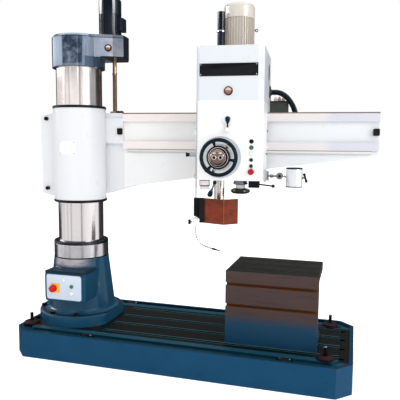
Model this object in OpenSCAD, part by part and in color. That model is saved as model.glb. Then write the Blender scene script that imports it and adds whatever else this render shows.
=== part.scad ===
// Radial drilling machine: swinging arm, traversing head, T-slotted base and box table.
// Millimetres. The origin is on the floor at the column axis, +X runs along the base to the table end,
// +Y away from the operator and +Z up. Pieces above the pedestal are written in the arm's own frame,
// x along the arm and y behind it, and are turned by arm_swing.

/* [Base] */
// Length of the base casting
base_l = 2460; // [2300:10:2700]
// Width of the base casting
base_w = 950; // [880:10:1100]
// Height of the base casting
base_h = 200; // [170:5:240]
// Distance from the column axis to the near end of the base
base_left = 340; // [335:5:400]
// Corner chamfer of the base
base_chamfer = 100; // [60:5:140]
// Distance between neighbouring T-slots
slot_pitch = 180; // [150:5:190]
// Width of a base T-slot at its neck
slot_w = 28; // [22:1:32]

/* [Table] */
// Length of the box table
table_l = 630; // [560:10:720]
// Depth of the box table
table_w = 500; // [440:10:560]
// Height of the box table
table_h = 515; // [440:5:560]
// Distance from the column axis to the near side of the table
table_x = 1251; // [1100:1:1320]
// Width of a table T-slot at its neck
table_slot_w = 22; // [18:1:28]

/* [Column] */
// Outside diameter of the column
col_d = 350; // [320:1:360]
// Height of the pedestal above the base
ped_h = 505; // [450:5:560]
// Bare column above the arm's sleeve at rest, the room the arm has to lift
col_bare = 365; // [330:5:560]
// Radius of the pedestal's foot flange
ped_flange_r = 330; // [320:1:334]
// Outside diameter of the polished clamp ring
ring_d = 424; // [410:2:440]

/* [Arm] */
// Swing of the arm from the base's long axis at rest, degrees
arm_swing = 5; // [0:0.5:20]
// Height of the arm's top face above the floor at rest
arm_z = 1823; // [1700:1:1850]
// Length of the arm from the column axis to its free end
arm_len = 2259; // [2200:1:2500]
// Depth of the arm at its free end
arm_tip_h = 309; // [290:1:340]
// Outside diameter of the arm's sleeve
sleeve_d = 400; // [396:1:420]
// Height of the arm's sleeve
sleeve_h = 700; // [640:5:740]
// Diameter of the lift screw
screw_d = 32; // [26:1:40]

/* [Head] */
// Distance from the column axis to the spindle axis at rest, along the arm
spindle_x = 1118; // [1000:1:1300]
// Width of the head
head_w = 463; // [455:1:500]
// Height of the head's main casting
head_h = 543; // [530:1:580]
// Height of the upper cover
cover_h = 366; // [320:1:400]
// Distance from the arm's way face to the head's front face
head_depth = 380; // [370:1:420]
// Diameter of the quill
quill_d = 90; // [86:1:94]
// Diameter of the spindle nose
nose_d = 74; // [66:1:80]
// Outside diameter of the traverse handwheel
wheel_d = 262; // [240:2:280]
// Diameter of the push buttons
button_d = 22; // [18:1:24]

/* [Hidden] */
$fn = 64;

// Overrun of every cut, and the gaps between pieces: running fits, seated pieces and free faces
over = 2;
run = 0.08;
seat = 0.1;
gap = 0.3;

// Base: walls, ribs, coolant gutter, slots and bolts
base_wall = 26;
base_deck = 66;
base_rib = 20;
base_cells = [10, 4];
rim_w = 27;
gutter_w = 63;
gutter_depth = 18;
slot_count = 4;
slot_head_w = 50;
slot_neck_h = 24;
slot_head_h = 20;
slot_start = 330;
foundation_r = 15;
foundation_boss_r = 40;
foundation_x = [254, 1690];
well_size = [130, 56];
well_deep = 22;
stud_r = 12;
stud_above = 84;
stud_depth = 50;
stud_nut_r = 21;
stud_nut_h = 20;
pad_r = 59;
pad_h = 12;
pad_inset_left = [75, 165];
pad_inset_right = [175, 140];
base_x0 = -base_left;
base_x1 = base_l - base_left;
base_mid = (base_x0 + base_x1) / 2;
plateau_x1 = base_x1 - rim_w - gutter_w;
foundation_y = base_w / 2 - rim_w - gutter_w / 2;

// Table: plates, webs, slots and bolts
table_plate = 58;
table_wall = 130;
table_foot = 44;
table_foot_w = 320;
table_web = 40;
table_web_inset = 60;
table_web_count = 3;
table_skin = 54;
table_core_wall = 26;
table_web_low = 190;
table_web_throat = 60;
table_slot_head_w = 38;
table_slot_neck_h = 20;
table_slot_head_h = 16;
table_top_slots = 3;
table_top_pitch = 150;
table_front_slots_share = [0.82, 0.53];
table_bolt_r = 11;
table_bolt_head_r = 20;
table_bolt_h = 18;
table_bolt_inset = 150;
table_bolt_clear = 10;
table_y0 = -slot_pitch / 2 - table_bolt_head_r - table_bolt_clear - table_wall;

// Pedestal, switch cabinet and inner column
ped_flange_h = 85;
ped_flat = 285;
ped_foot_r = 258;
ped_head_r = 212;
ped_fillet = 40;
ped_edge = 12;
ped_wall = 42;
ped_bolt_ring = 300;
ped_bolt_r = 11;
ped_bolt_head_r = 20;
ped_bolt_h = 18;
ped_bolt_grip = 30;
ped_bolt_angles = [70, 110, 155, 205, 250, 290];
cabinet_x = -140;
cabinet_w = 342;
cabinet_z = 200;
cabinet_h = 232;
cabinet_front = -330;
cabinet_root = -60;
cabinet_round = 22;
cabinet_edge = 28;
cabinet_wall = 26;
cabinet_deep = 84;
panel_w = 290;
panel_h = 188;
panel_t = 4;
panel_round = 6;
panel_x = cabinet_x + cabinet_w / 2;
panel_z = base_h + cabinet_z + cabinet_h / 2 - ped_edge / 2;
inner_r = 130;
inner_wall = 24;
inner_foot_r = 180;
inner_foot_h = 32;
bearing_h = 42;
bearing_inset = 70;
ped_top = base_h + ped_h;
ring_h = 122;
ring_edge = 3;
dust_h = 38;
dust_lip = 4;
dust_step = 6;
dust_round = 27;
switch_at = [-84, -10];
switch_r = 28;
switch_h = 18;
switch_grip = [12, 50, 14];
panel_button_x = 67;
panel_button_z = [12, -39];
panel_lamp_at = [2, 55];
panel_lamp_r = 10;
panel_lamp_h = 8;
panel_button_r = 13;
button_out = 9;
button_in = 16;
button_travel = 5;
panel_face = cabinet_front - panel_t;

// Column, top housing and lift drive
col_r = col_d / 2;
col_wall = 20;
house_drop = 60;
house_r = 200;
house_h = 240;
house_wall = 16;
house_socket = 60;
house_ext_drop = 76;
house_ext_x = 375;
house_ext_front = -60;
house_ext_back = 212;
house_ext_root = 60;
house_ext_flank = -147;
house_ext_knee = 300;
house_ext_side = [-20, 95];
house_ext_tail = 330;
sleeve_above = 27;
col_top = arm_z + sleeve_above + col_bare;
house_z = col_top - house_drop;
house_top = house_z + house_h;
screw_x = 240;
screw_y = 140;
screw_r = screw_d / 2;
screw_below = 373;
lift_motor_x = 237;
lift_motor_y = 60;
lift_gear_h = 24;
lift_gear_share = 0.62;
lift_shaft_r = 12;
lift_motor_r = 86;
lift_foot_h = 22;
lift_body_h = 146;
lift_hood_h = 122;
fin_count = 28;
fin_w = 4;
fin_deep = 7;
lift_box = [32, 80, 97];
lift_box_up = 25;
lift_box_back = 20;
lift_gear_gap = 0.6;
gear_distance = norm([lift_motor_x - screw_x, lift_motor_y - screw_y]);
lift_gear_z = house_top - house_wall * 2 - lift_gear_h * 2;

// Arm: ways, belly, root and sleeve
way_y = 60;
web_y = 95;
arm_back = 310;
arm_back_tip = 270;
way_h = 67;
low_way_drop = 220;
low_way_h = 58;
way_x0 = 331;
belly_x = 419;
belly_drop = 570;
root_x = 199;
root_drop = 636;
keeper_y = [115, 150];
keeper_deep = 25;
arm_wall = 26;
arm_roof = 62;
arm_core_x = 400;
arm_end_wall = 40;
block_x = 185;
block_top = 43;
block_low = 238;
block_step = 20;
arm_plan_x = 430;
arm_plan_root = [70, 186];
sleeve_r = sleeve_d / 2;
sleeve_z1 = arm_z + sleeve_above;
sleeve_z0 = sleeve_z1 - sleeve_h;
lug_x = 295;
lug_half = 62;
lug_inner = 150;
lug_drop = [13, 650];
lug_slope = 18;
lug_slit = 6;
lug_bolt_x = 247;
lug_bolt_drop = [50, 592];
lug_bolt_r = 9;
lug_head_r = 15;
lug_head_h = 18;
seal_h = 20;
seal_out = 5;
seal_bevel = 6;
nut_flange_r = 38;
nut_flange_h = 14;
nut_r = 27;
nut_h = 86;
rack_h = 24;
rack_module = 4;
rack_t = 26;
rack_y = web_y - rack_t - gap;
rack_flank = 20;
pinion_teeth = 12;
tooth_play_share = 0.18;
tooth_tip_share = 0.95;
tooth_root_share = 1.25;
pinion_flank = 14;
pinion_r = rack_module * pinion_teeth / 2;
stop_t = 14;
stop_w = 42;
stop_h = 50;
stop_round = 8;
stop_drop = 144;
low_way_z1 = arm_z - low_way_drop;
low_way_z0 = low_way_z1 - low_way_h;

// Head: places are measured from the spindle axis, heights from the arm's top face
spindle_y = -20;
head_over = 57;
head_left = 121.5;
bevel_left = 24;
bevel_right = 38;
head_wall = 25;
cover_wall = 10;
cover_roof = 14;
head_core_back = 90;
head_back = 310;
head_x0 = spindle_x - head_left;
head_x1 = head_x0 + head_w;
head_front = way_y - head_depth;
head_z1 = arm_z + head_over;
head_z0 = head_z1 - head_h;
cover_z1 = head_z1 + cover_h;
sight_x = 103;
sight_up = 64;
sight_r = 29;
sight_t = 8;
motor_x = 118;
motor_y = 100;
motor_r = 114;
motor_foot_r = 122;
motor_foot_h = 20;
motor_body_h = 235;
motor_hood_h = 106;
motor_hood_round = 34;
motor_shaft_r = 19;
motor_shaft_h = 60;
motor_fins = 36;
motor_fin_w = 5;
motor_fin_deep = 10;
motor_box = [70, 36, 80];
motor_box_up = 90;
tube_r = 27.5;
tube_wall = 4;
tube_h = 293;
tube_collar_r = 31;
tube_collar_h = 10;
tube_seam_share = 0.505;
tube_edge = 5;

// Feed and traverse: hub, wheel, shafts and gears share one axis ahead of the quill
hub_x = 54;
hub_drop = 327;
dial_r = 143;
dial_t = 15;
dial_bore_r = 48;
wheel_rim_r = 13;
wheel_hub_r = 80;
wheel_hub_bore = 53;
wheel_hub_t = 34;
wheel_stand = 80;
wheel_spokes = 3;
wheel_spoke_r = 8.5;
wheel_spoke_turn = 131;
wheel_boss_r = 11;
wheel_boss_h = 16;
wheel_sleeve_r = 45;
wheel_sleeve_bore = 32;
hub_r = 50;
hub_out = 42;
hub_round = 14;
hub_eye_x = 22;
hub_eye_r = 9;
hub_eye_deep = 24;
feed_gear_r = 16.5;
feed_gear_t = 36;
feed_shaft_r = 13;
feed_pocket = 2;
drive_gear_r = 60;
drive_gear_t = 20;
drive_gear_y = 60;
drive_gap = 0.6;
pinion_x = 97;
pinion_shaft_r = 13;
drive_gear_2_r = pinion_x - drive_gear_r - drive_gap;
hub_z = arm_z - hub_drop;
wheel_front = head_front - dial_t - wheel_stand;

// Quill and spindle
quill_below = 15;
quill_len = 600;
quill_bore_r = 35;
quill_land = 60;
rack_flat = 37;
rack_pitch = 9;
rack_notches = 52;
rack_notch = 4;
rack_low = 70;
spindle_r = 22;
nose_len = 180;
nose_lip = 10;
taper_mouth_r = 22.2;
taper_end_r = 18.3;
taper_len = 130;
drift_w = 16;
drift_h = 62;
drift_up = 60;
drift_turn = 60;
quill_r = quill_d / 2;
quill_z0 = head_z0 - quill_below;
spindle_top = cover_z1 + tube_h - tube_r - tube_wall;

// Controls on and under the head, from the spindle axis
fine_x = 184;
fine_y = -210;
fine_r = 68;
fine_h = 38;
fine_lobes = 12;
fine_scallop = 13;
fine_hub_r = 32;
fine_drop = 57;
fine_boss_r = 22;
fine_boss_h = 14;
fine_bore_r = 8;
preset_x = -66;
preset_y = -240;
preset_r = [39.5, 31];
preset_h = [40, 26];
preset_drop = 3;
preset_pin_r = 10;
engage_x = 6;
engage_y = -240;
engage_drop = 22;
engage_len = 88;
engage_tilt = 22;
engage_rod_r = 5;
engage_ball = [18, 40];
engage_boss_r = 13;
engage_boss_t = 22;
engage_pin_r = 6;
engage_lug = [28, 14];
dirbox_x = 247;
dirbox_size = [73, 60, 48];
dirbox_y = -280;
dirbox_round = 6;
dirlever_len = 108;
dirlever_r = 5;
dirlever_ball = 12;
dirlever_boss = 13;
dirlever_t = 16;
dirlever_pin_r = 4;
dirlever_tilt = 6;
speed_x = 103;
speed_drop = 140;
speed_len = 74;
speed_rod_r = 4;
speed_ball = 15;
speed_boss_r = 15;
speed_boss_t = 30;
speed_stand = 20;
speed_pin_r = 6;
clamp_y = -180;
clamp_drop = 314;
clamp_rod_r = 8;
clamp_knob_r = 16.5;
clamp_knob_l = 30;
clamp_len = 93;
button_x = 266;
button_drop = [218, 259.5, 301, 342.5, 384];
stop_button_drop = 424;
stop_button_r = 20;
stop_stem_r = 14;
stop_stem_h = 16;
stop_cap_h = 14;

// Guard, coolant and lamp
post_x = -137;
post_y = -200;
post_r = 6;
post_lugs = [36, 345];
post_top = 352;
post_cap = [8, 10];
post_low = 283;
post_block = [22, 28, 34];
post_clamp = [45, 48, 28];
post_clamp_y = -14;
guard_drop = [135, 267];
guard_wedge = 40;
guard_hub_r = 15;
guard_plate_t = 16;
guard_reach = 57;
shield_t = 4;
shield_h = 178;
shield_corner = [79, -280];
shield_end = [168, -200];
valve_r = 15;
valve_h = 58;
valve_x = -2;
valve_cap_r = 19;
valve_cap_h = 14;
tap_reach = 38;
tap_r = 9;
tap_boss = 10;
tap_stem_r = 5;
tap_knob = [14, 34, 12];
hose_r = 6;
hose_sides = 10;
nozzle_r = [7.5, 4];
nozzle_l = 66;
lamp_y = -140;
lamp_plate = [14, 60, 84];
lamp_ear = 26;
lamp_ear_t = 10;
lamp_pin_r = 8;
lamp_pivot_x = 26;
lamp_reach = 110;
lamp_arm_r = 7;
lamp_clamp_r = 24;
lamp_clamp_h = 44;
lamp_neck_r = 6;
lamp_gap_x = 44;
lamp_r = 57;
lamp_h = 133;
lamp_wall = 3;
lamp_lens_t = 6;
lamp_lens_up = 12;
lamp_top_h = 4;
lamp_top_in = 10;
lamp_handle = [30, 26, 74];
lamp_up = 29;

// Rear box and conduit
box_x = 180;
box_w = 302;
box_y = 318;
box_deep = 96;
box_drop = 120;
box_h = 217;
box_round = 10;
box_seat_h = 80;
gland_l = 16;
gland_r = 42;
gland_neck_r = 24;
conduit_r = 21;
conduit_rib = 3;
conduit_bore = 15;
conduit_ribs = 44;
conduit_sides = 8;
conduit_y = 240;
conduit_up = 105;
conduit_out = 110;
conduit_back = 40;
conduit_rise = 40;
conduit_lead = 30;
conduit_lead_rings = 6;
conduit_end_drop = 52;

// Helpers

module on_arm() {
    rotate([0, 0, arm_swing]) children();
}

// Carries its children to the spindle axis at the given offset, at the height of the arm's top face
module on_head(x = 0, y = 0, z = 0) {
    on_arm() translate([spindle_x + x, spindle_y + y, arm_z + z]) children();
}

// Extrudes an outline drawn in x and z from y0 to y1
module xz(y0, y1) {
    translate([0, y1, 0]) rotate([90, 0, 0]) linear_extrude(height = y1 - y0) children();
}

// Extrudes an outline drawn in y and z from x0 to x1
module yz(x0, x1) {
    translate([x0, 0, 0]) rotate([90, 0, 90]) linear_extrude(height = x1 - x0) children();
}

// A round bar along y, from y0 to y1
module bar_y(r, y0, y1) {
    translate([0, y0, 0]) rotate([-90, 0, 0]) cylinder(r = r, h = y1 - y0);
}

// A round bar along x, from x0 to x1
module bar_x(r, x0, x1) {
    translate([x0, 0, 0]) rotate([0, 90, 0]) cylinder(r = r, h = x1 - x0);
}

module ring(r_out, r_in, h) {
    difference() {
        cylinder(r = r_out, h = h);
        translate([0, 0, -over]) cylinder(r = r_in, h = h + 2 * over);
    }
}

module round_square(w, h, r) {
    square([w - 2 * r, h], center = true);
    square([w, h - 2 * r], center = true);
    for (x = [-1, 1], y = [-1, 1])
        translate([x * (w / 2 - r), y * (h / 2 - r)]) circle(r = r);
}

module hexagon(r, h) {
    cylinder(r = r, h = h, $fn = 6);
}

// A straight rod between two points
module rod(a, b, r) {
    d = b - a;
    translate(a)
        rotate([0, acos(d[2] / norm(d)), atan2(d[1], d[0])])
            cylinder(r = r, h = norm(d));
}

// Quarter arc of an outline, from angle a0 to a1 about c
function arc(c, r, a0, a1, n = 8) =
    [for (i = [0 : n]) let (a = a0 + (a1 - a0) * i / n) c + r * [cos(a), sin(a)]];

function unit(v) = v / norm(v);

// A tube of rings along a path; each ring has its own radius, and a bore above zero makes it hollow
module swept_tube(path, radii, sides, bore = 0) {
    n = len(path);
    tangents = [for (i = [0 : n - 1]) unit(path[min(i + 1, n - 1)] - path[max(i - 1, 0)])];
    across = [for (t = tangents) unit(cross(t, [0, 1, 0]))];
    normals = [for (i = [0 : n - 1]) cross(tangents[i], across[i])];
    function ring_points(i, r) = [for (k = [0 : sides - 1])
        path[i] + r * (cos(360 * k / sides) * across[i] + sin(360 * k / sides) * normals[i])];
    outer = [for (i = [0 : n - 1]) each ring_points(i, radii[i])];
    inner = bore > 0 ? [for (i = [0 : n - 1]) each ring_points(i, bore)] : [];
    shift = n * sides;
    function wall(from, flip) = [for (i = [0 : n - 2], k = [0 : sides - 1])
        let (a = from + i * sides + k, b = from + i * sides + (k + 1) % sides, c = a + sides, d = b + sides)
        each flip ? [[a, b, c], [b, d, c]] : [[a, c, b], [b, c, d]]];
    function end_ring(i, flip) = [for (k = [0 : sides - 1])
        let (a = i * sides + k, b = i * sides + (k + 1) % sides, c = a + shift, d = b + shift)
        each flip ? [[a, c, b], [b, c, d]] : [[a, b, c], [b, d, c]]];
    function end_disc(i, flip) = [for (k = [1 : sides - 2])
        flip ? [i * sides, i * sides + k + 1, i * sides + k] : [i * sides, i * sides + k, i * sides + k + 1]];
    faces = bore > 0
        ? concat(wall(0, false), wall(shift, true), end_ring(0, false), end_ring(n - 1, true))
        : concat(wall(0, false), end_disc(0, false), end_disc(n - 1, true));
    polyhedron(points = concat(outer, inner), faces = faces);
}

function bezier(p, t) = pow(1 - t, 3) * p[0] + 3 * t * pow(1 - t, 2) * p[1]
    + 3 * t * t * (1 - t) * p[2] + pow(t, 3) * p[3];

// Base

// Plan of the base, drawn in from its edge by the inset
module base_plan(inset) {
    c = base_chamfer - inset * (2 - sqrt(2));
    x = base_l / 2 - inset;
    y = base_w / 2 - inset;
    translate([base_mid, 0])
        polygon([[-x + c, -y], [x - c, -y], [x, -y + c], [x, y - c], [x - c, y], [-x + c, y], [-x, y - c], [-x, -y + c]]);
}

// Profile of a T-slot below a top face at zero
module slot_profile(neck_w, head_w, neck_h, head_h) {
    translate([-neck_w / 2, -neck_h - over / 2]) square([neck_w, neck_h + over]);
    translate([-head_w / 2, -neck_h - head_h]) square([head_w, head_h]);
}

module base_cells() {
    cell = [(base_l - 2 * base_wall) / base_cells[0], (base_w - 2 * base_wall) / base_cells[1]];
    for (i = [0 : base_cells[0] - 1], j = [0 : base_cells[1] - 1])
        translate([base_x0 + base_wall + i * cell[0] + base_rib / 2, -base_w / 2 + base_wall + j * cell[1] + base_rib / 2, -over])
            cube([cell[0] - base_rib, cell[1] - base_rib, base_h]);
}

module at_foundation_holes() {
    for (x = foundation_x, s = [-1, 1])
        translate([x, s * foundation_y, 0]) children();
}

module at_levelling_studs() {
    for (s = [-1, 1]) {
        translate([base_x0 + pad_inset_left[0], s * (base_w / 2 - pad_inset_left[1]), base_h]) children();
        translate([base_x1 - pad_inset_right[0], s * (base_w / 2 - pad_inset_right[1]), base_h]) children();
    }
}

module at_base_slots() {
    for (i = [0 : slot_count - 1])
        translate([0, (i - (slot_count - 1) / 2) * slot_pitch, base_h]) children();
}

module base_casting() {
    color("#1f4b6e") difference() {
        linear_extrude(height = base_h) base_plan(0);
        difference() {
            intersection() {
                translate([0, 0, -over]) linear_extrude(height = base_h - base_deck + over) base_plan(base_wall);
                base_cells();
            }
            at_foundation_holes() cylinder(r = foundation_boss_r, h = base_h);
        }
        translate([0, 0, base_h - gutter_depth]) linear_extrude(height = gutter_depth + over) difference() {
            base_plan(rim_w);
            base_plan(rim_w + gutter_w);
        }
        at_base_slots() yz(slot_start, plateau_x1 + gutter_w / 2)
            slot_profile(slot_w, slot_head_w, slot_neck_h, slot_head_h);
        at_foundation_holes() {
            translate([0, 0, -over]) cylinder(r = foundation_r, h = base_h + 2 * over);
            translate([0, 0, base_h - gutter_depth - well_deep]) linear_extrude(height = well_deep + over)
                round_square(well_size[0], well_size[1], well_size[1] / 2 - gap);
        }
        at_levelling_studs() translate([0, 0, -stud_depth - seat]) cylinder(r = stud_r + seat, h = stud_depth + over);
        at_pedestal_bolts(base_h - ped_bolt_grip - seat) cylinder(r = ped_bolt_r + seat, h = ped_bolt_grip + over);
    }
}

module levelling_pads() {
    color("#5a3035") at_levelling_studs() ring(pad_r, stud_r + seat, pad_h);
}

module at_pedestal_bolts(z) {
    for (a = ped_bolt_angles)
        rotate([0, 0, a]) translate([ped_bolt_ring, 0, z]) children();
}

module at_table_bolts() {
    for (x = [table_bolt_inset, table_l - table_bolt_inset])
        translate([table_x + x, slot_pitch / 2 - slot_pitch, base_h]) children();
}

module base_bolts() {
    color("#8d9094") {
        at_levelling_studs() {
            translate([0, 0, -stud_depth]) cylinder(r = stud_r, h = stud_depth + stud_above);
            translate([0, 0, pad_h]) hexagon(stud_nut_r, stud_nut_h);
        }
        at_pedestal_bolts(base_h + ped_flange_h) {
            hexagon(ped_bolt_head_r, ped_bolt_h);
            translate([0, 0, -ped_flange_h - ped_bolt_grip])
                cylinder(r = ped_bolt_r, h = ped_flange_h + ped_bolt_grip + over);
        }
        at_table_bolts() {
            translate([0, 0, table_foot]) hexagon(table_bolt_head_r, table_bolt_h);
            translate([0, 0, -slot_neck_h - slot_head_h / 2])
                cylinder(r = table_bolt_r, h = slot_neck_h + slot_head_h / 2 + table_foot + over);
        }
    }
}

// Table

module table_web_profile() {
    y1 = table_y0 + table_w;
    polygon([
        [table_y0 + over, 0], [table_y0 + table_foot_w, 0], [table_y0 + table_foot_w, table_foot],
        [table_y0 + table_wall + table_web_throat, table_web_low],
        [table_y0 + table_wall + table_web_throat, table_h - table_plate - table_web_low],
        [y1, table_h - table_plate], [y1, table_h - over], [table_y0 + over, table_h - over]
    ]);
}

module box_table() {
    y1 = table_y0 + table_w;
    x1 = table_x + table_l;
    web_step = (table_l - 2 * table_web_inset - table_web) / (table_web_count - 1);
    color("#5a4038") translate([0, 0, base_h]) difference() {
        union() {
            yz(table_x, x1) polygon([
                [table_y0, 0], [table_y0 + table_foot_w, 0], [table_y0 + table_foot_w, table_foot],
                [table_y0 + table_wall, table_foot], [table_y0 + table_wall, table_h - table_plate],
                [y1, table_h - table_plate], [y1, table_h], [table_y0, table_h]
            ]);
            for (i = [0 : table_web_count - 1])
                let (x = table_x + table_web_inset + i * web_step)
                    yz(x, x + table_web) table_web_profile();
        }
        translate([table_x + table_web, table_y0 + table_skin, table_foot])
            cube([table_l - 2 * table_web, table_wall - table_skin - table_core_wall, table_h - table_foot - table_skin]);
        for (i = [0 : table_top_slots - 1])
            translate([0, table_y0 + table_w / 2 + (i - (table_top_slots - 1) / 2) * table_top_pitch, table_h])
                yz(table_x - over, x1 + over)
                    slot_profile(table_slot_w, table_slot_head_w, table_slot_neck_h, table_slot_head_h);
        for (share = table_front_slots_share)
            translate([0, table_y0, table_h * share]) rotate([90, 0, 0]) yz(table_x - over, x1 + over)
                slot_profile(table_slot_w, table_slot_head_w, table_slot_neck_h, table_slot_head_h);
        translate([0, 0, -base_h]) at_table_bolts() translate([0, 0, -over]) cylinder(r = table_bolt_r + seat, h = table_foot + 2 * over);
    }
}

// Pedestal and what it carries

module pedestal_shell() {
    z0 = base_h;
    z1 = base_h + ped_flange_h;
    rotate_extrude() polygon(concat(
        [[inner_r + seat, z0], [ped_flange_r, z0], [ped_flange_r, z1 - ped_edge], [ped_flange_r - ped_edge, z1]],
        arc([ped_foot_r + ped_fillet, z1 + ped_fillet], ped_fillet, 270, 188),
        [[ped_head_r, ped_top], [inner_r + seat, ped_top]]
    ));
}

// The hollow between the inner column and the pedestal's wall
module pedestal_hollow() {
    rotate_extrude() polygon([
        [0, base_h - over], [ped_foot_r - ped_wall, base_h - over], [ped_foot_r - ped_wall, base_h + ped_flange_h],
        [ped_head_r - ped_wall, ped_top - ped_wall], [0, ped_top - ped_wall]
    ]);
}

module column_pedestal() {
    color("#244f70") difference() {
        union() {
            pedestal_shell();
            intersection() {
                translate([cabinet_x + cabinet_w / 2, 0, base_h + cabinet_z + cabinet_h / 2])
                    xz(cabinet_front, cabinet_root) round_square(cabinet_w, cabinet_h, cabinet_round);
                translate([cabinet_x + cabinet_w / 2, (cabinet_front + cabinet_root) / 2, base_h])
                    linear_extrude(height = ped_h) round_square(cabinet_w, cabinet_root - cabinet_front, cabinet_edge);
            }
        }
        pedestal_hollow();
        translate([ped_flat, -ped_flange_r, base_h - over])
            cube([ped_flange_r, 2 * ped_flange_r, ped_flange_h + 2 * over]);
        translate([panel_x, 0, panel_z]) xz(cabinet_front - over, cabinet_front + cabinet_deep)
            square([panel_w - cabinet_wall, panel_h - cabinet_wall], center = true);
        at_pedestal_bolts(base_h - over) cylinder(r = ped_bolt_r + seat, h = ped_flange_h + 2 * over);
        at_pedestal_bolts(base_h + ped_flange_h) cylinder(r = ped_bolt_head_r + over, h = ped_bolt_h + over);
    }
}

module inner_column() {
    color("#6b6f73") difference() {
        union() {
            translate([0, 0, base_h]) cylinder(r = inner_foot_r, h = inner_foot_h);
            translate([0, 0, base_h]) cylinder(r = inner_r, h = col_top - bearing_inset / 2 - base_h);
        }
        translate([0, 0, base_h + inner_foot_h]) cylinder(r = inner_r - inner_wall, h = col_top);
    }
}

module column_bearings() {
    color("#c9ccd0")
        for (z = [ped_top + bearing_inset, col_top - bearing_inset - bearing_h])
            translate([0, 0, z]) ring(col_r - col_wall - run, inner_r + seat / 2, bearing_h);
}

module clamp_ring() {
    r = ring_d / 2;
    color("#b9bcc0") translate([0, 0, ped_top]) rotate_extrude() polygon([
        [col_r + run, 0], [r - ring_edge, 0], [r, ring_edge], [r, ring_h - ring_edge], [r - ring_edge, ring_h],
        [col_r + run, ring_h]
    ]);
}

module dust_ring() {
    r = ring_d / 2;
    color("#1d2c38") translate([0, 0, ped_top + ring_h]) rotate_extrude() polygon(concat(
        [[col_r + run, 0], [r - dust_step, 0], [r - dust_step, dust_lip], [r, dust_lip]],
        arc([r - dust_round, dust_h - dust_round], dust_round, 0, 90), [[col_r + run, dust_h]]
    ));
}

module switch_panel() {
    color("#d9dcd8") {
        difference() {
            translate([panel_x, 0, panel_z]) xz(panel_face, cabinet_front) round_square(panel_w, panel_h, panel_round);
            at_panel(switch_at[0], switch_at[1]) bar_y(switch_r / 2 + gap, -over, panel_t + over);
            for (z = panel_button_z)
                at_panel(panel_button_x, z) bar_y(panel_button_r + run, -over, panel_t + over);
        }
        at_panel(panel_lamp_at[0], panel_lamp_at[1]) bar_y(panel_lamp_r, -panel_lamp_h, over);
    }
}

// Places its children on the panel's face, at an offset from the panel's middle
module at_panel(x, z) {
    translate([panel_x + x, panel_face, panel_z + z]) children();
}

module main_switch() {
    color("#b3201c") at_panel(switch_at[0], switch_at[1]) {
        bar_y(switch_r, -switch_h, -gap);
        bar_y(switch_r / 2, -gap - over, panel_t + over);
        translate([-switch_grip[0] / 2, -switch_h - switch_grip[2], -switch_grip[1] / 2])
            cube([switch_grip[0], switch_grip[2] + over, switch_grip[1]]);
    }
}

module panel_button(z) {
    at_panel(panel_button_x, z) bar_y(panel_button_r, -button_out, button_in);
}

module start_button() {
    color("#1d8a4a") panel_button(panel_button_z[0]);
}

module stop_button() {
    color("#e9e9e4") panel_button(panel_button_z[1]);
}

// Column, top housing and lift drive

module outer_column() {
    color("#c4c7ca") translate([0, 0, ped_top + gap]) ring(col_r, col_r - col_wall, col_top - ped_top - gap);
}

module housing_extension_plan(inset) {
    x1 = house_ext_x - inset;
    y0 = house_ext_front + inset;
    y1 = house_ext_back - inset;
    polygon([
        [house_ext_root, house_ext_flank + inset], [house_ext_knee, y0], [x1, house_ext_side[0] + inset],
        [x1, house_ext_side[1] - inset / 2], [house_ext_tail - inset, y1], [house_ext_root, y1]
    ]);
}

module top_housing() {
    ext_z = house_z + house_ext_drop;
    socket_r = col_r + seat;
    color("#3f5a6e") on_arm() difference() {
        union() {
            translate([0, 0, house_z]) cylinder(r = house_r, h = house_h - house_wall);
            translate([0, 0, house_top - house_wall]) cylinder(r1 = house_r, r2 = house_r - house_wall, h = house_wall);
            translate([0, 0, ext_z]) linear_extrude(height = house_top - ext_z) housing_extension_plan(0);
        }
        translate([0, 0, house_z - over]) cylinder(r = socket_r, h = house_socket + over);
        translate([0, 0, col_top - over]) cylinder(r = col_r - col_wall, h = house_top - house_wall - col_top + over);
        translate([0, 0, ext_z + 2 * house_wall]) linear_extrude(height = house_top - ext_z - 3 * house_wall)
            housing_extension_plan(house_wall);
        translate([screw_x, screw_y, ext_z - over]) cylinder(r = screw_r + run, h = 2 * house_wall + 2 * over);
        translate([lift_motor_x, lift_motor_y, house_top - house_wall - over])
            cylinder(r = lift_shaft_r + gap, h = house_wall + 2 * over);
    }
}

// A finned motor barrel: a round core with straight fins
module finned_barrel(r, h, fins, fin_w, fin_deep) {
    linear_extrude(height = h) {
        circle(r = r - fin_deep);
        for (i = [0 : fins - 1])
            rotate([0, 0, 360 * i / fins]) translate([0, -fin_w / 2]) square([r, fin_w]);
    }
}

module lift_motor() {
    hood_z = lift_foot_h + lift_body_h;
    color("#1b2630") on_arm() translate([lift_motor_x, lift_motor_y, house_top]) difference() {
        union() {
            cylinder(r = lift_motor_r + fin_deep, h = lift_foot_h);
            translate([0, 0, lift_foot_h - over]) finned_barrel(lift_motor_r, lift_body_h + 2 * over, fin_count, fin_w, fin_deep);
            translate([0, 0, hood_z]) rotate_extrude() polygon(concat(
                [[0, 0], [lift_motor_r, 0]],
                arc([lift_motor_r - lift_foot_h, lift_hood_h - lift_foot_h], lift_foot_h, 0, 90),
                [[0, lift_hood_h]]
            ));
            translate([lift_motor_r - fin_deep - over, lift_box_back - lift_box[1] / 2, lift_foot_h + lift_box_up]) cube(lift_box);
        }
        translate([0, 0, -over]) cylinder(r = lift_shaft_r + run, h = lift_foot_h + over);
    }
}

module lift_pinion() {
    r = gear_distance * (1 - lift_gear_share) - lift_gear_gap;
    color("#9a9da1") on_arm() translate([lift_motor_x, lift_motor_y, 0]) {
        translate([0, 0, lift_gear_z]) cylinder(r = r, h = lift_gear_h);
        translate([0, 0, lift_gear_z]) cylinder(r = lift_shaft_r, h = house_top + lift_foot_h - gap - lift_gear_z);
    }
}

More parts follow.
